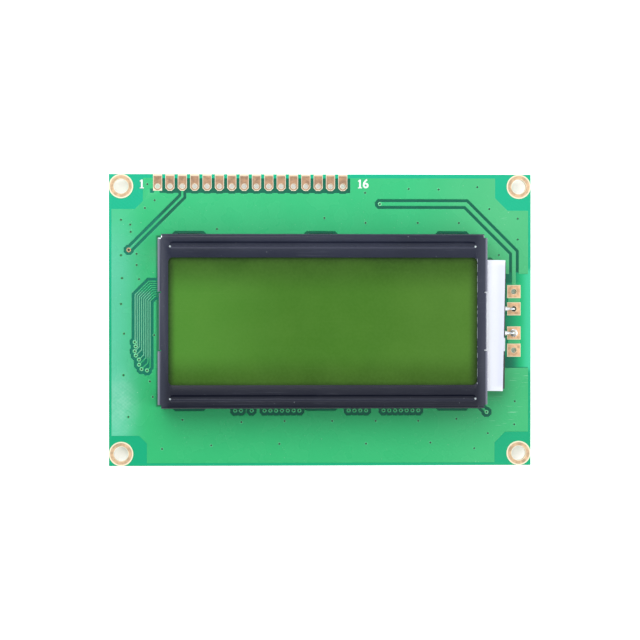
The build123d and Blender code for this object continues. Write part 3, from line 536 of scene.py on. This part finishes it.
def plain_finish(name, first, second, grain, roughness, depth=0.004, metallic=0.0, **sockets):
    """A material of two close tones in soft patches, with a fine surface."""
    w = Wiring(name, roughness=roughness, metallic=metallic, **sockets)
    patches = w.step(w.noise(grain, 3.0), 0.3, 0.7)
    rough = w.step(w.noise(grain * 0.7, 2.0), 0.3, 0.7, roughness * 0.85, min(1.0, roughness * 1.15))
    w.tone = w.mix(patches, first, second)
    return w.set(Base_Color=w.tone, Roughness=rough, Normal=w.bump(w.noise(grain * 0.2, 3.0), depth))


def zebra_finish():
    """Contact rubber: thin dark conducting layers between pale insulating ones."""
    w = Wiring("zebra_rubber", roughness=0.55)
    x, _, _ = w.axes()
    layer = w.calc("SINE", w.times(x, 2 * pi / 0.18))
    core = w.step(layer, -0.2, 0.2)
    w.tone = w.mix(core, (30, 31, 34), (176, 170, 150))
    w.tint(w.step(w.noise(1.2), 0.4, 0.7, 0.0, 0.25), (90, 88, 80))
    return w.set(Base_Color=w.tone, Normal=w.bump(w.plus(layer, w.noise(0.2)), 0.004))


def cover_finish():
    """White film over the backlight's end, with painted light next to the bezel, brighter along its rim,
    with a few specks.
    """
    w = Wiring("white_cover", roughness=0.45)
    x, y, _ = w.axes()
    low, high = COVER_LOW * 1000, COVER_HIGH * 1000
    from_end = w.calc("MINIMUM", w.minus(high.y, y), w.minus(y, low.y))
    # Painted light: brighter next to the bezel, against the shade the bezel casts there, duller towards the
    # outer end
    w.tone = w.mix(w.step(x, 34.0, 36.9), (250, 251, 255), (211, 213, 226))
    w.tint(w.step(from_end, 1.4, 0.3, 0.0, 0.5), (246, 247, 252))
    specks = w.step(w.noise(0.3, 1.0), 0.74, 0.78)
    w.tint(w.times(specks, 0.3), (190, 192, 190))
    return w.set(Base_Color=w.tone, Normal=w.bump(w.noise(2.5), 0.01))


def strip_finish():
    """Dark laminate of the emitter board, with a stretch of pale core on its upper edge."""
    w = Wiring("dark_laminate", roughness=0.5)
    _, y, _ = w.axes()
    _, _, upward = w.facing()
    w.tone = w.mix(w.noise(1.2, 3.0), (52, 62, 52), (34, 42, 38))
    stretch = w.step(w.off(y, PALE_CORE_Y), 1.5, 1.2)
    w.tint(w.times(stretch, w.step(upward, 0.5, 0.8)), (222, 226, 232))
    return w.set(Base_Color=w.tone, Normal=w.bump(w.noise(0.24, 3.0), 0.01))


def epoxy_finish():
    """Black epoxy, uneven and satin, with small pits."""
    w = Wiring("black_epoxy", roughness=0.3)
    patches = w.noise(3.0)
    w.tone = w.mix(patches, (20, 20, 22), (34, 34, 37))
    pits = w.step(w.noise(0.35, 1.0), 0.3, 0.24)
    height = w.minus(w.noise(1.4, 3.0), w.times(pits, 0.6))
    rough = w.step(patches, 0.3, 0.7, 0.24, 0.42)
    return w.set(Base_Color=w.tone, Roughness=rough, Normal=w.bump(height, 0.03))


def facing_from(place, target):
    """The place of a lamp or camera that looks at a target, with the board's Y upward in its view."""
    back = (place - target).normalized()
    right = Vector((0, 1, 0)).cross(back).normalized()
    turn = Matrix((right, back.cross(right), back)).transposed()
    return Matrix.Translation(place) @ turn.to_4x4()


def start_shape(node, whole_faces=True):
    """A CAD node's mesh, merged and if asked with its flat faces whole, to shape further."""
    shape = bmesh.new()
    shape.from_mesh(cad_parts[node].data)
    bmesh.ops.remove_doubles(shape, verts=shape.verts, dist=1e-6)
    if whole_faces:
        bmesh.ops.dissolve_limit(
            shape, angle_limit=radians(0.5), verts=shape.verts, edges=shape.edges,
            use_dissolve_boundaries=False,
        )
    return shape


def round_edges(shape, width, least_angle, segments=2, where=None):
    """Bevel the edges that turn more than an angle, all of them or only those that a test names."""
    sharp = [
        edge for edge in shape.edges
        if len(edge.link_faces) == 2
        and edge.calc_face_angle(0.0) > radians(least_angle)
        and (where is None or where(edge))
    ]
    bmesh.ops.bevel(
        shape, geom=sharp, offset=mm(width), offset_type="OFFSET", affect="EDGES", segments=segments,
        profile=0.5, material=-1, clamp_overlap=True,
    )


def masked_copper(run, drop):
    """A copy of the front copper whose upper rims slope down, as mask does over copper."""
    shape = start_shape("front_copper", whole_faces=False)
    flat = [face for face in shape.faces if face.normal.z > 0.99]
    level = flat[0].verts[0].co.z
    bmesh.ops.inset_region(shape, faces=flat, thickness=mm(run), use_boundary=True, use_even_offset=False)
    shape.normal_update()
    walls = [face for face in shape.faces if abs(face.normal.z) < 0.5]
    for vert in {vert for face in walls for vert in face.verts if abs(vert.co.z - level) < mm(0.001)}:
        vert.co.z -= mm(drop)
    return shape


def in_scene(name, data):
    """A new object of some data, in the scene."""
    thing = bpy.data.objects.new(name, data)
    bpy.context.scene.collection.objects.link(thing)
    return thing


def keep(name, shape, material, replaces=(), smooth=35.0):
    """Make a finished piece of a bmesh: it rides on the module and takes the given material."""
    mesh = bpy.data.meshes.new(name)
    shape.normal_update()
    for face in shape.faces:
        face.smooth = max(abs(part) for part in face.normal) < 0.9999
    shape.to_mesh(mesh)
    shape.free()
    piece = in_scene(name, mesh)
    mesh.materials.append(material)
    mesh.set_sharp_from_angle(angle=radians(smooth))
    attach(piece, "root")
    if replaces:
        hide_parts(*replaces)


def dress(material, *nodes):
    """Give CAD nodes a material."""
    for node in nodes:
        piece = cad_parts[node]
        piece.data.materials.clear()
        piece.data.materials.append(material)


def soften(node, name, width, material, segments=2, whole_faces=True):
    """Put a copy with rounded edges in the place of a CAD node."""
    shape = start_shape(node, whole_faces)
    round_edges(shape, width, 60.0, segments)
    keep(name, shape, material, (node,))


def turned(shape, profile, axis, centre, steps=32):
    """Spin an open profile of (radius, height) pairs round an axis, from pole to rim."""
    up = Vector(axis)
    side = up.orthogonal().normalized()
    verts = [shape.verts.new(centre + side * mm(r) + up * mm(h)) for r, h in profile]
    edges = [shape.edges.new(pair) for pair in zip(verts, verts[1:])]
    bmesh.ops.spin(
        shape, geom=verts + edges, cent=centre, axis=up, angle=2 * pi, steps=steps, use_merge=True,
        use_duplicate=False,
    )
    bmesh.ops.remove_doubles(shape, verts=shape.verts, dist=1e-7)


def ring_of(shape, x, y, z, outer, inner, height, facing=1, steps=20):
    """A low ring of mask round a via, standing on a face of the board."""
    centre = mm(x, y, z)
    profile = [
        (outer, 0.0), (outer * 0.9, height * 0.7), ((outer + inner) / 2, height),
        (inner * 1.12, height * 0.6), (inner, 0.0),
    ]
    turned(shape, profile, (0, 0, facing), centre, steps)


def disc_of(shape, x, y, z, radius, facing=1, steps=16):
    """A small flat disc on a face of the board."""
    place = Matrix.Translation(mm(x, y, z))
    if facing < 0:
        place = place @ Matrix.Rotation(pi, 4, "X")
    bmesh.ops.create_circle(shape, cap_ends=True, segments=steps, radius=mm(radius), matrix=place)


class DisplayLooks(bpy.types.PropertyGroup):
    """Colours and surface values of the module."""

    mask_top: IntVectorProperty(
        name="Mask, top", description="Mask over copper towards the header", size=3, default=(51, 180, 114)
    )
    mask_bottom: IntVectorProperty(
        name="Mask, bottom", description="Mask over copper away from the header", size=3,
        default=(45, 172, 104),
    )
    # Painted glare: the mask's paler tone at the left end
    mask_left_glare: IntVectorProperty(
        name="Mask, left", description="Mask over copper at the left end", size=3, default=(91, 191, 155)
    )
    # Painted glare: the mask's paler tone at the right end
    mask_right_glare: IntVectorProperty(
        name="Mask, right", description="Mask over copper at the right end", size=3, default=(78, 178, 118)
    )
    laminate_left: IntVectorProperty(
        name="Laminate, left", description="Lit laminate at the left end", size=3, default=(0, 170, 127)
    )
    laminate_right: IntVectorProperty(
        name="Laminate, right", description="Lit laminate at the right end", size=3, default=(14, 170, 126)
    )
    laminate_strip: IntVectorProperty(
        name="Laminate, strip", description="Lit laminate right of the lands", size=3, default=(22, 178, 112)
    )
    mask_roughness: FloatProperty(
        name="Mask roughness", description="Lowest roughness of the mask", default=0.22, min=0.0, max=1.0
    )
    bezel_dark: IntVectorProperty(
        name="Bezel, dark", description="Darker tone of the paint", size=3, default=(22, 26, 40)
    )
    bezel_light: IntVectorProperty(
        name="Bezel, light", description="Lighter tone of the paint", size=3, default=(32, 36, 54)
    )
    # Painted sheen: the paint's paler tone near the short sides
    bezel_side_sheen: IntVectorProperty(
        name="Bezel, sides", description="Paint near the short sides", size=3, default=(55, 58, 70)
    )
    # Painted shade: the paint's darker tone away from the header
    bezel_low_shade: IntVectorProperty(
        name="Bezel, low", description="Paint away from the header", size=3, default=(5, 8, 24)
    )
    bezel_roughness: FloatProperty(
        name="Bezel roughness", description="Lowest roughness of the paint", default=0.34, min=0.0, max=1.0
    )
    window_middle: IntVectorProperty(
        name="Window, middle", description="Film in the middle of the window", size=3, default=(58, 104, 24)
    )
    window_left: IntVectorProperty(
        name="Window, left", description="Film near the window's left end", size=3, default=(68, 121, 37)
    )
    window_right: IntVectorProperty(
        name="Window, right", description="Film near the window's right end", size=3, default=(68, 110, 33)
    )


class DisplaySizes(bpy.types.PropertyGroup):
    """Sizes of the pieces that this script adds."""

    ring_radius: FloatProperty(
        name="Via ring", description="Outer radius of the mask round a via, in mm", default=0.4, min=0.1
    )
    hole_radius: FloatProperty(
        name="Via hole", description="Radius of a via's dark hole, in mm", default=0.19, min=0.05
    )
    mask_run: FloatProperty(
        name="Mask slope", description="Width of the slope at the mask's rims, in mm", default=0.09, min=0.01
    )
    mask_drop: FloatProperty(
        name="Mask drop", description="Height of the slope at the mask's rims, in mm", default=0.045, min=0.0
    )
    ink_height: FloatProperty(
        name="Ink height", description="Thickness of the printed digits, in mm", default=0.02, min=0.005
    )
    digit_height: FloatProperty(
        name="Digit height", description="Height of the printed digits, in mm", default=1.8, min=0.5
    )
    rib_round: FloatProperty(
        name="Rib round", description="Round of the pressed ribs' edges, in mm", default=0.22, min=0.01
    )
    edge_round: FloatProperty(
        name="Edge round", description="Round of the bezel's cut edges, in mm", default=0.07, min=0.01
    )


class DisplayStage(bpy.types.PropertyGroup):
    """Camera, floor and lights."""

    camera_place: FloatVectorProperty(
        name="Camera", description="Where the camera stands", size=3, default=(-0.030, 0.005, 0.6016),
        subtype="TRANSLATION", unit="LENGTH",
    )
    camera_aim: FloatVectorProperty(
        name="Aim", description="What the camera looks at", size=3, default=(-0.0001, 0.0, 0.0016),
        subtype="TRANSLATION", unit="LENGTH",
    )
    lens: FloatProperty(
        name="Lens", description="Focal length on a 36 mm sensor, in mm", default=164.05, min=20
    )
    key_power: FloatProperty(
        name="Key light", description="Power of the large soft light", default=3.2, min=0.0, unit="POWER"
    )
    world_strength: FloatProperty(
        name="Surroundings", description="Strength of the white walls", default=1.0, min=0.0
    )
    side_strength: FloatProperty(
        name="Sides", description="Further strength of the walls at left and right", default=1.2, min=0.0
    )
    front_strength: FloatProperty(
        name="Front", description="Strength of the wall in front", default=0.35, min=0.0
    )
    overhead_strength: FloatProperty(
        name="Overhead", description="Strength of the patch straight above", default=0.62, min=0.0
    )


def looks():
    """The user's colours."""
    return bpy.context.scene.display_looks


def sizes():
    """The user's sizes."""
    return bpy.context.scene.display_sizes


class DISPLAY_OT_board(bpy.types.Operator):
    """Laminate and masked copper of both faces"""

    bl_idname = "display.board"
    bl_label = "Circuit board"

    def execute(self, context):
        tones = looks()
        dress(laminate_finish(tones), "circuit_board")
        shape = masked_copper(sizes().mask_run, sizes().mask_drop)
        mask = mask_finish("front_mask", tones)
        keep("front_masked_copper", shape, mask, ("front_copper",), 20.0)
        dress(mask_finish("rear_mask", tones), "rear_copper")
        return {"FINISHED"}


class DISPLAY_OT_lands(bpy.types.Operator):
    """Bare copper lands round the holes"""

    bl_idname = "display.lands"
    bl_label = "Lands"

    def execute(self, context):
        corner = land_finish("corner_lands", "mounting", (214, 178, 138), (232, 222, 190), 1.5)
        dress(corner, "mounting_hole_lands")
        header = land_finish("header_copper", "header", (176, 136, 102), (232, 216, 188), 0.5, 29.6)
        dress(header, "header_lands")
        square = land_finish("backlight_copper", "backlight", (238, 190, 142), (232, 216, 178), 0.55)
        dress(square, "backlight_lands")
        gold = plain_finish("contact_gold", (214, 176, 96), (190, 150, 80), 1.0, 0.3, 0.003, 0.9)
        dress(gold, "zebra_contact_pads")
        return {"FINISHED"}


class DISPLAY_OT_vias(bpy.types.Operator):
    """Rings and holes of the vias, on both faces"""

    bl_idname = "display.vias"
    bl_label = "Vias"

    def execute(self, context):
        size = sizes()
        rings, low_rings, holes, bare = (bmesh.new() for _ in range(4))
        wide = size.ring_radius

        def via(shape, place, outer, height, facing=1, inner=size.hole_radius, hole=size.hole_radius + 0.02):
            """One via on a face of the board: its ring and its dark hole."""
            level = FRONT_LEVEL if facing > 0 else BACK_LEVEL
            ring_of(shape, *place, level, outer, inner, height, facing)
            disc_of(holes, *place, level + facing * HOLE_LIFT, hole, facing)

        for place in STITCHING_VIAS:
            via(low_rings, place, wide * 0.85, LOW_RING_HEIGHT)
        for place in BUS_VIAS + [SUPPLY_VIA, CORNER_VIA]:
            via(rings, place, wide, RING_HEIGHT)
        for place in ROW_VIAS:
            via(low_rings, place, wide, RING_HEIGHT)
        for place in BUS_VIAS + ROW_VIAS + [CONTRAST_VIA, SUPPLY_VIA]:
            via(rings, place, wide, RING_HEIGHT, -1)
        via(bare, CONTRAST_VIA, 0.47, 0.03, inner=0.24, hole=0.27)
        glaze = plain_finish("via_glaze", (120, 214, 152), (92, 200, 132), 0.4, 0.2)
        keep("via_rings", rings, glaze)
        flush = plain_finish("stitching_glaze", (72, 190, 124), (58, 178, 112), 0.4, 0.25)
        keep("stitching_via_rings", low_rings, flush)
        plated = plain_finish("bare_ring", (206, 176, 130), (180, 146, 104), 0.3, 0.4)
        keep("contrast_via_ring", bare, plated)
        keep("via_holes", holes, plain_finish("via_dark", (22, 62, 42), (12, 40, 28), 0.2, 0.5))
        return {"FINISHED"}


class DISPLAY_OT_digits(bpy.types.Operator):
    """Printed pin numbers at the ends of the header row"""

    bl_idname = "display.digits"
    bl_label = "Pin numbers"

    def execute(self, context):
        ink = plain_finish("white_ink", (236, 240, 236), (214, 222, 214), 0.5, 0.5)
        height = sizes().digit_height
        thick = sizes().ink_height
        level = FRONT_LEVEL + INK_LIFT + thick / 2
        first = bmesh.new()
        self.one(first, *FIRST_NUMBER, height, level, thick)
        keep("pin_number_first", first, ink)
        last = self.six(context, height, thick)
        low = min(vert.co.x for vert in last.verts)
        base = min(vert.co.y for vert in last.verts)
        x, y = LAST_NUMBER
        shift = mm(x + DIGIT_STEP, y, level) - Vector((low, base, 0.0))
        bmesh.ops.translate(last, verts=last.verts, vec=shift)
        self.one(last, x, y, height, level, thick)
        keep("pin_number_last", last, ink)
        return {"FINISHED"}

    @staticmethod
    def one(shape, x, y, height, level, thick):
        """A bold figure 1 with a foot and a flag, standing at y on the middle x."""
        bars = (
            (0.0, height / 2, 0.36, height, 0.0),
            (0.0, 0.09, 0.86, 0.18, 0.0),
            (-0.24, height * 0.85, 0.36, 0.2, radians(28)),
        )
        for layer, (across, up, wide, tall, turn) in enumerate(bars):
            lift = level + 0.003 * layer
            place = Matrix.Translation(mm(x + across, y + up, lift)) @ Matrix.Rotation(turn, 4, "Z")
            scale = Matrix.Diagonal((mm(wide), mm(tall), mm(thick), 1.0))
            bmesh.ops.create_cube(shape, size=1.0, matrix=place @ scale)

    @staticmethod
    def six(context, height, thick):
        """A bold figure 6, from Blender's own letters."""
        curve = bpy.data.curves.new("figure_six", "FONT")
        curve.body = "6"
        curve.size = mm(height / 0.7)
        curve.offset = mm(0.06)
        curve.extrude = mm(thick / 2)
        curve.resolution_u = 4
        text = in_scene("figure_six", curve)
        context.view_layer.update()
        mesh = bpy.data.meshes.new_from_object(text.evaluated_get(context.evaluated_depsgraph_get()))
        bpy.data.objects.remove(text)
        shape = bmesh.new()
        shape.from_mesh(mesh)
        bpy.data.meshes.remove(mesh)
        bmesh.ops.remove_doubles(shape, verts=shape.verts, dist=1e-7)
        return shape


class DISPLAY_OT_bezel(bpy.types.Operator):
    """Painted bezel with rounded cut edges"""

    bl_idname = "display.bezel"
    bl_label = "Bezel"

    def execute(self, context):
        shape = start_shape("bezel")
        groove_floor = BEZEL_HIGH.z - mm(0.45)

        def on_rib(edge):
            """Whether an edge bounds a pressed rib as seen from the front."""
            return all(
                vert.co.z > groove_floor and abs(abs(vert.co.y - mm(DISPLAY[1])) - mm(RIB_Y)) < mm(0.7)
                and abs(vert.co.x) < mm(RIB_END + 0.35) for vert in edge.verts
            )

        round_edges(shape, sizes().rib_round, 30.0, 4, on_rib)
        round_edges(shape, sizes().edge_round, 60.0)
        keep("bezel_shell", shape, bezel_finish(looks()), ("bezel",), 30.0)
        return {"FINISHED"}


class DISPLAY_OT_cell(bpy.types.Operator):
    """Films, glasses, seal and contact strips of the display"""

    bl_idname = "display.cell"
    bl_label = "Liquid crystal cell"

    def execute(self, context):
        dress(window_finish(looks()), "front_polarizer")
        glass = plain_finish(
            "cell_glass", (216, 236, 222), (205, 230, 214), 6.0, 0.05, 0.0005,
            Transmission_Weight=0.85, IOR=1.5,
        )
        dress(glass, "front_glass", "rear_glass")
        resin = plain_finish("seal_resin", (190, 186, 160), (170, 164, 138), 0.8, 0.35, 0.01)
        dress(resin, "glass_seal")
        dress(plain_finish("rear_film", (140, 148, 124), (124, 132, 110), 3.0, 0.4), "rear_polarizer")
        soften("fill_port_plug", "fill_port_bead", 0.12, resin, 3, whole_faces=False)
        dress(zebra_finish(), "upper_zebra_strip", "lower_zebra_strip")
        return {"FINISHED"}


class DISPLAY_OT_backlight(bpy.types.Operator):
    """Light guide, films, strip board, leads and solder"""

    bl_idname = "display.backlight"
    bl_label = "Backlight"

    def execute(self, context):
        acrylic = plain_finish(
            "guide_acrylic", (232, 240, 242), (222, 234, 236), 5.0, 0.12, 0.002,
            Transmission_Weight=0.6, IOR=1.49,
        )
        dress(acrylic, "light_guide")
        dress(plain_finish("reflector_white", (238, 240, 240), (226, 230, 230), 2.0, 0.5), "reflector_film")
        dress(plain_finish("diffuser_milk", (236, 239, 241), (224, 229, 232), 2.0, 0.55), "diffuser_film")
        soften("tab_cover_film", "cover_sheet", 0.04, cover_finish())
        soften("led_strip_board", "emitter_board", 0.03, strip_finish())
        resin = plain_finish("emitter_resin", (236, 226, 150), (220, 208, 128), 0.8, 0.25)
        soften("backlight_leds", "emitters", 0.08, resin, 3)
        tin = plain_finish("tinned_wire", (214, 216, 216), (190, 192, 194), 0.5, 0.25, metallic=1.0)
        for node in ("anode_lead", "cathode_lead"):
            soften(node, node + "_wire", 0.09, tin, 3)
        self.solder()
        return {"FINISHED"}

    @staticmethod
    def solder():
        """Solder drawn up each lead in a hollow curve, and bright where it has set."""
        shape = bmesh.new()
        curve = [(0.0, 0.62), (0.27, 0.62), (0.34, 0.42), (0.46, 0.22), (0.62, 0.08), (0.8, 0.0)]
        tall_curve = [(0.0, 1.25), (0.27, 1.25), (0.34, 0.95), (0.44, 0.6), (0.56, 0.3), (0.7, 0.0)]
        for side in (1, -1):
            y = DISPLAY[1] + side * BACKLIGHT_OFFSETS[0]
            turned(shape, curve, (0, 0, -1), mm(BACKLIGHT_X, y, BACK_LEVEL))
            turned(shape, tall_curve, (1, 0, 0), mm(STRIP_FACE_X - 0.11, y, LEAD_LEVEL))
        filled = DISPLAY[1] - BACKLIGHT_OFFSETS[0]
        turned(shape, curve, (0, 0, 1), mm(BACKLIGHT_X, filled, FRONT_LEVEL))
        bmesh.ops.recalc_face_normals(shape, faces=shape.faces)
        bright = plain_finish("bright_solder", (232, 233, 232), (206, 208, 210), 0.5, 0.28, 0.01, 0.75)
        keep("solder_joints", shape, bright, ("lead_solder",), 60.0)


class DISPLAY_OT_blobs(bpy.types.Operator):
    """Epoxy blobs over the bonded chips"""

    bl_idname = "display.blobs"
    bl_label = "Epoxy blobs"

    def execute(self, context):
        epoxy = epoxy_finish()
        chance = random.Random(7)
        for node, name in (("controller_blob", "controller_epoxy"), ("driver_blobs", "driver_epoxy")):
            shape = bmesh.new()
            low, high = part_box(node)
            if node == "controller_blob":
                radius = (high.x - low.x) / 2
                centres = [(low + high) / 2]
            else:
                radius = mm(DRIVER_BLOB_RADIUS)
                inward = Vector((radius, radius, 0.0))
                centres = [low + inward, high - inward]
            for centre in centres:
                self.blob(shape, Vector((centre.x, centre.y, 0.0)), radius, -low.z, chance)
            keep(name, shape, epoxy, (node,), 80.0)
        return {"FINISHED"}

    @staticmethod
    def blob(shape, centre, radius, height, chance):
        """A low dome with a soft shoulder and an outline that isn't quite round."""
        drops = [
            (0.0, 1.0), (0.2, 0.99), (0.42, 0.94), (0.62, 0.82),
            (0.78, 0.63), (0.9, 0.38), (0.965, 0.16), (1.0, 0.0),
        ]
        before = set(shape.verts)
        turned(shape, [(r * radius * 1000, h * height * 1000) for r, h in drops], (0, 0, -1), centre, 64)
        waves = ((2, 0.012), (3, 0.01), (5, 0.006))
        phases = [chance.uniform(0, 2 * pi) for _ in waves]
        for vert in shape.verts:
            if vert in before:
                continue
            away = vert.co - centre
            turn = atan2(away.y, away.x)
            wave = sum(share * sin(n * turn + p) for (n, share), p in zip(waves, phases))
            pull = 0.972 + wave * (hypot(away.x, away.y) / radius)
            vert.co.x = centre.x + away.x * pull
            vert.co.y = centre.y + away.y * pull
        bmesh.ops.recalc_face_normals(shape, faces=shape.faces)


class DISPLAY_OT_chips(bpy.types.Operator):
    """Chip resistors and capacitors with their tinned ends"""

    bl_idname = "display.chips"
    bl_label = "Chips"

    def execute(self, context):
        black = plain_finish("resistor_glaze", (30, 31, 34), (20, 20, 23), 0.6, 0.22)
        tan = plain_finish("capacitor_ceramic", (168, 132, 96), (150, 116, 84), 0.5, 0.5)
        soften("chip_resistors", "resistor_bodies", 0.06, black)
        soften("chip_capacitors", "capacitor_bodies", 0.06, tan)
        tin = plain_finish("chip_tin", (214, 215, 214), (188, 190, 192), 0.4, 0.3, 0.006, 0.9)
        soften("chip_solder", "chip_joints", 0.05, tin)
        return {"FINISHED"}


class DISPLAY_OT_stage(bpy.types.Operator):
    """Floor, lights and the photograph's camera"""

    bl_idname = "display.stage"
    bl_label = "Stage"

    def execute(self, context):
        stage = context.scene.display_stage
        floor_shape = bmesh.new()
        level = Matrix.Translation((0, 0, CAD_BOX[0][2]))
        bmesh.ops.create_grid(floor_shape, x_segments=2, y_segments=2, size=3.0, matrix=level)
        mesh = bpy.data.meshes.new("floor")
        floor_shape.to_mesh(mesh)
        floor_shape.free()
        floor = in_scene("floor", mesh)
        mesh.materials.append(self.paper())
        world = bpy.data.worlds.new("surroundings")
        world.use_nodes = True
        self.sky(world.node_tree, stage)
        context.scene.world = world
        self.lamp("key_light", (-0.18, 0.36, 0.66), 0.5, stage.key_power)
        self.lamp("fill_light", (0.4, -0.25, 0.65), 0.6, stage.key_power * 0.5)
        camera = bpy.data.cameras.new("photo_camera")
        camera.lens = stage.lens
        camera.sensor_width = 36.0
        camera.clip_end = 10.0
        eye = in_scene("photo_camera", camera)
        eye.matrix_world = facing_from(Vector(stage.camera_place), Vector(stage.camera_aim))
        context.scene.camera = eye
        context.scene.view_settings.view_transform = "Standard"
        return {"FINISHED"}

    @staticmethod
    def paper():
        """White paper, lit from below round the board and a little under its holes."""
        w = Wiring("floor_white", (0.93, 0.93, 0.93), 0.9)
        x, y, _ = w.axes()
        far_x = w.off(x)
        far_y = w.off(y)
        holes = w.times(w.step(far_y, 20.0, 23.0), w.step(far_x, 35.5, 38.0, 0.4, 0.2))
        holes = w.most(holes, w.step(far_x, 35.0, 38.0, 0.0, 0.08))
        beyond_x = w.step(far_x, BOARD_HALF_X - 0.2, BOARD_HALF_X + 0.1)
        outside = w.most(beyond_x, w.step(far_y, BOARD_HALF_Y - 0.2, BOARD_HALF_Y + 0.1))
        glow = w.most(holes, w.times(outside, 0.7))
        return w.set(Emission_Color=(255, 255, 255), Emission_Strength=glow)

    @staticmethod
    def sky(tree, stage):
        """Bright walls at the sides and behind the header, a dim one in front and a dim patch above."""
        coordinates = tree.nodes.new("ShaderNodeTexCoord")
        n = Nodes(tree, coordinates.outputs["Generated"])
        x, y, z = n.axes()
        walls = n.step(y, -0.6, 0.1, stage.front_strength, stage.world_strength)
        sides = n.step(n.off(x), 0.55, 0.9, 0.0, stage.side_strength)
        strength = n.step(z, 0.62, 0.98, n.plus(walls, sides), stage.overhead_strength)
        background = tree.nodes["Background"]
        background.inputs[0].default_value = (0.9, 0.94, 1.0, 1.0)
        tree.links.new(strength, background.inputs[1])

    @staticmethod
    def lamp(name, place, size, power):
        """A large square light that faces the module."""
        light = bpy.data.lights.new(name, "AREA")
        light.size = size
        light.energy = power
        in_scene(name, light).matrix_world = facing_from(Vector(place), Vector())


OPERATORS = (
    DISPLAY_OT_board,
    DISPLAY_OT_lands,
    DISPLAY_OT_vias,
    DISPLAY_OT_digits,
    DISPLAY_OT_bezel,
    DISPLAY_OT_cell,
    DISPLAY_OT_backlight,
    DISPLAY_OT_blobs,
    DISPLAY_OT_chips,
    DISPLAY_OT_stage,
)
GROUPS = (
    ("display_looks", DisplayLooks),
    ("display_sizes", DisplaySizes),
    ("display_stage", DisplayStage),
)


class DISPLAY_PT_panel(bpy.types.Panel):
    """The module's pieces, sizes and colours"""

    bl_label = "Character display module"
    bl_idname = "DISPLAY_PT_panel"
    bl_space_type = "VIEW_3D"
    bl_region_type = "UI"
    bl_category = "Display"

    def draw(self, context):
        for operator in OPERATORS:
            self.layout.operator(operator.bl_idname)
        for name, group in GROUPS:
            box = self.layout.box()
            for prop in group.__annotations__:
                box.prop(getattr(context.scene, name), prop)


def register():
    """Make the groups, operators and panel known to Blender."""
    for name, group in GROUPS:
        bpy.utils.register_class(group)
        setattr(bpy.types.Scene, name, PointerProperty(type=group))
    for operator in OPERATORS:
        bpy.utils.register_class(operator)
    bpy.utils.register_class(DISPLAY_PT_panel)


def unregister():
    """Take them out again."""
    bpy.utils.unregister_class(DISPLAY_PT_panel)
    for operator in reversed(OPERATORS):
        bpy.utils.unregister_class(operator)
    for name, group in reversed(GROUPS):
        delattr(bpy.types.Scene, name)
        bpy.utils.unregister_class(group)


def main():
    """Dress the module and set the stage."""
    register()
    bpy.ops.display.stage()
    bpy.ops.display.board()
    bpy.ops.display.lands()
    bpy.ops.display.vias()
    bpy.ops.display.digits()
    bpy.ops.display.bezel()
    bpy.ops.display.cell()
    bpy.ops.display.backlight()
    bpy.ops.display.blobs()
    bpy.ops.display.chips()


if __name__ == "__main__":
    main()
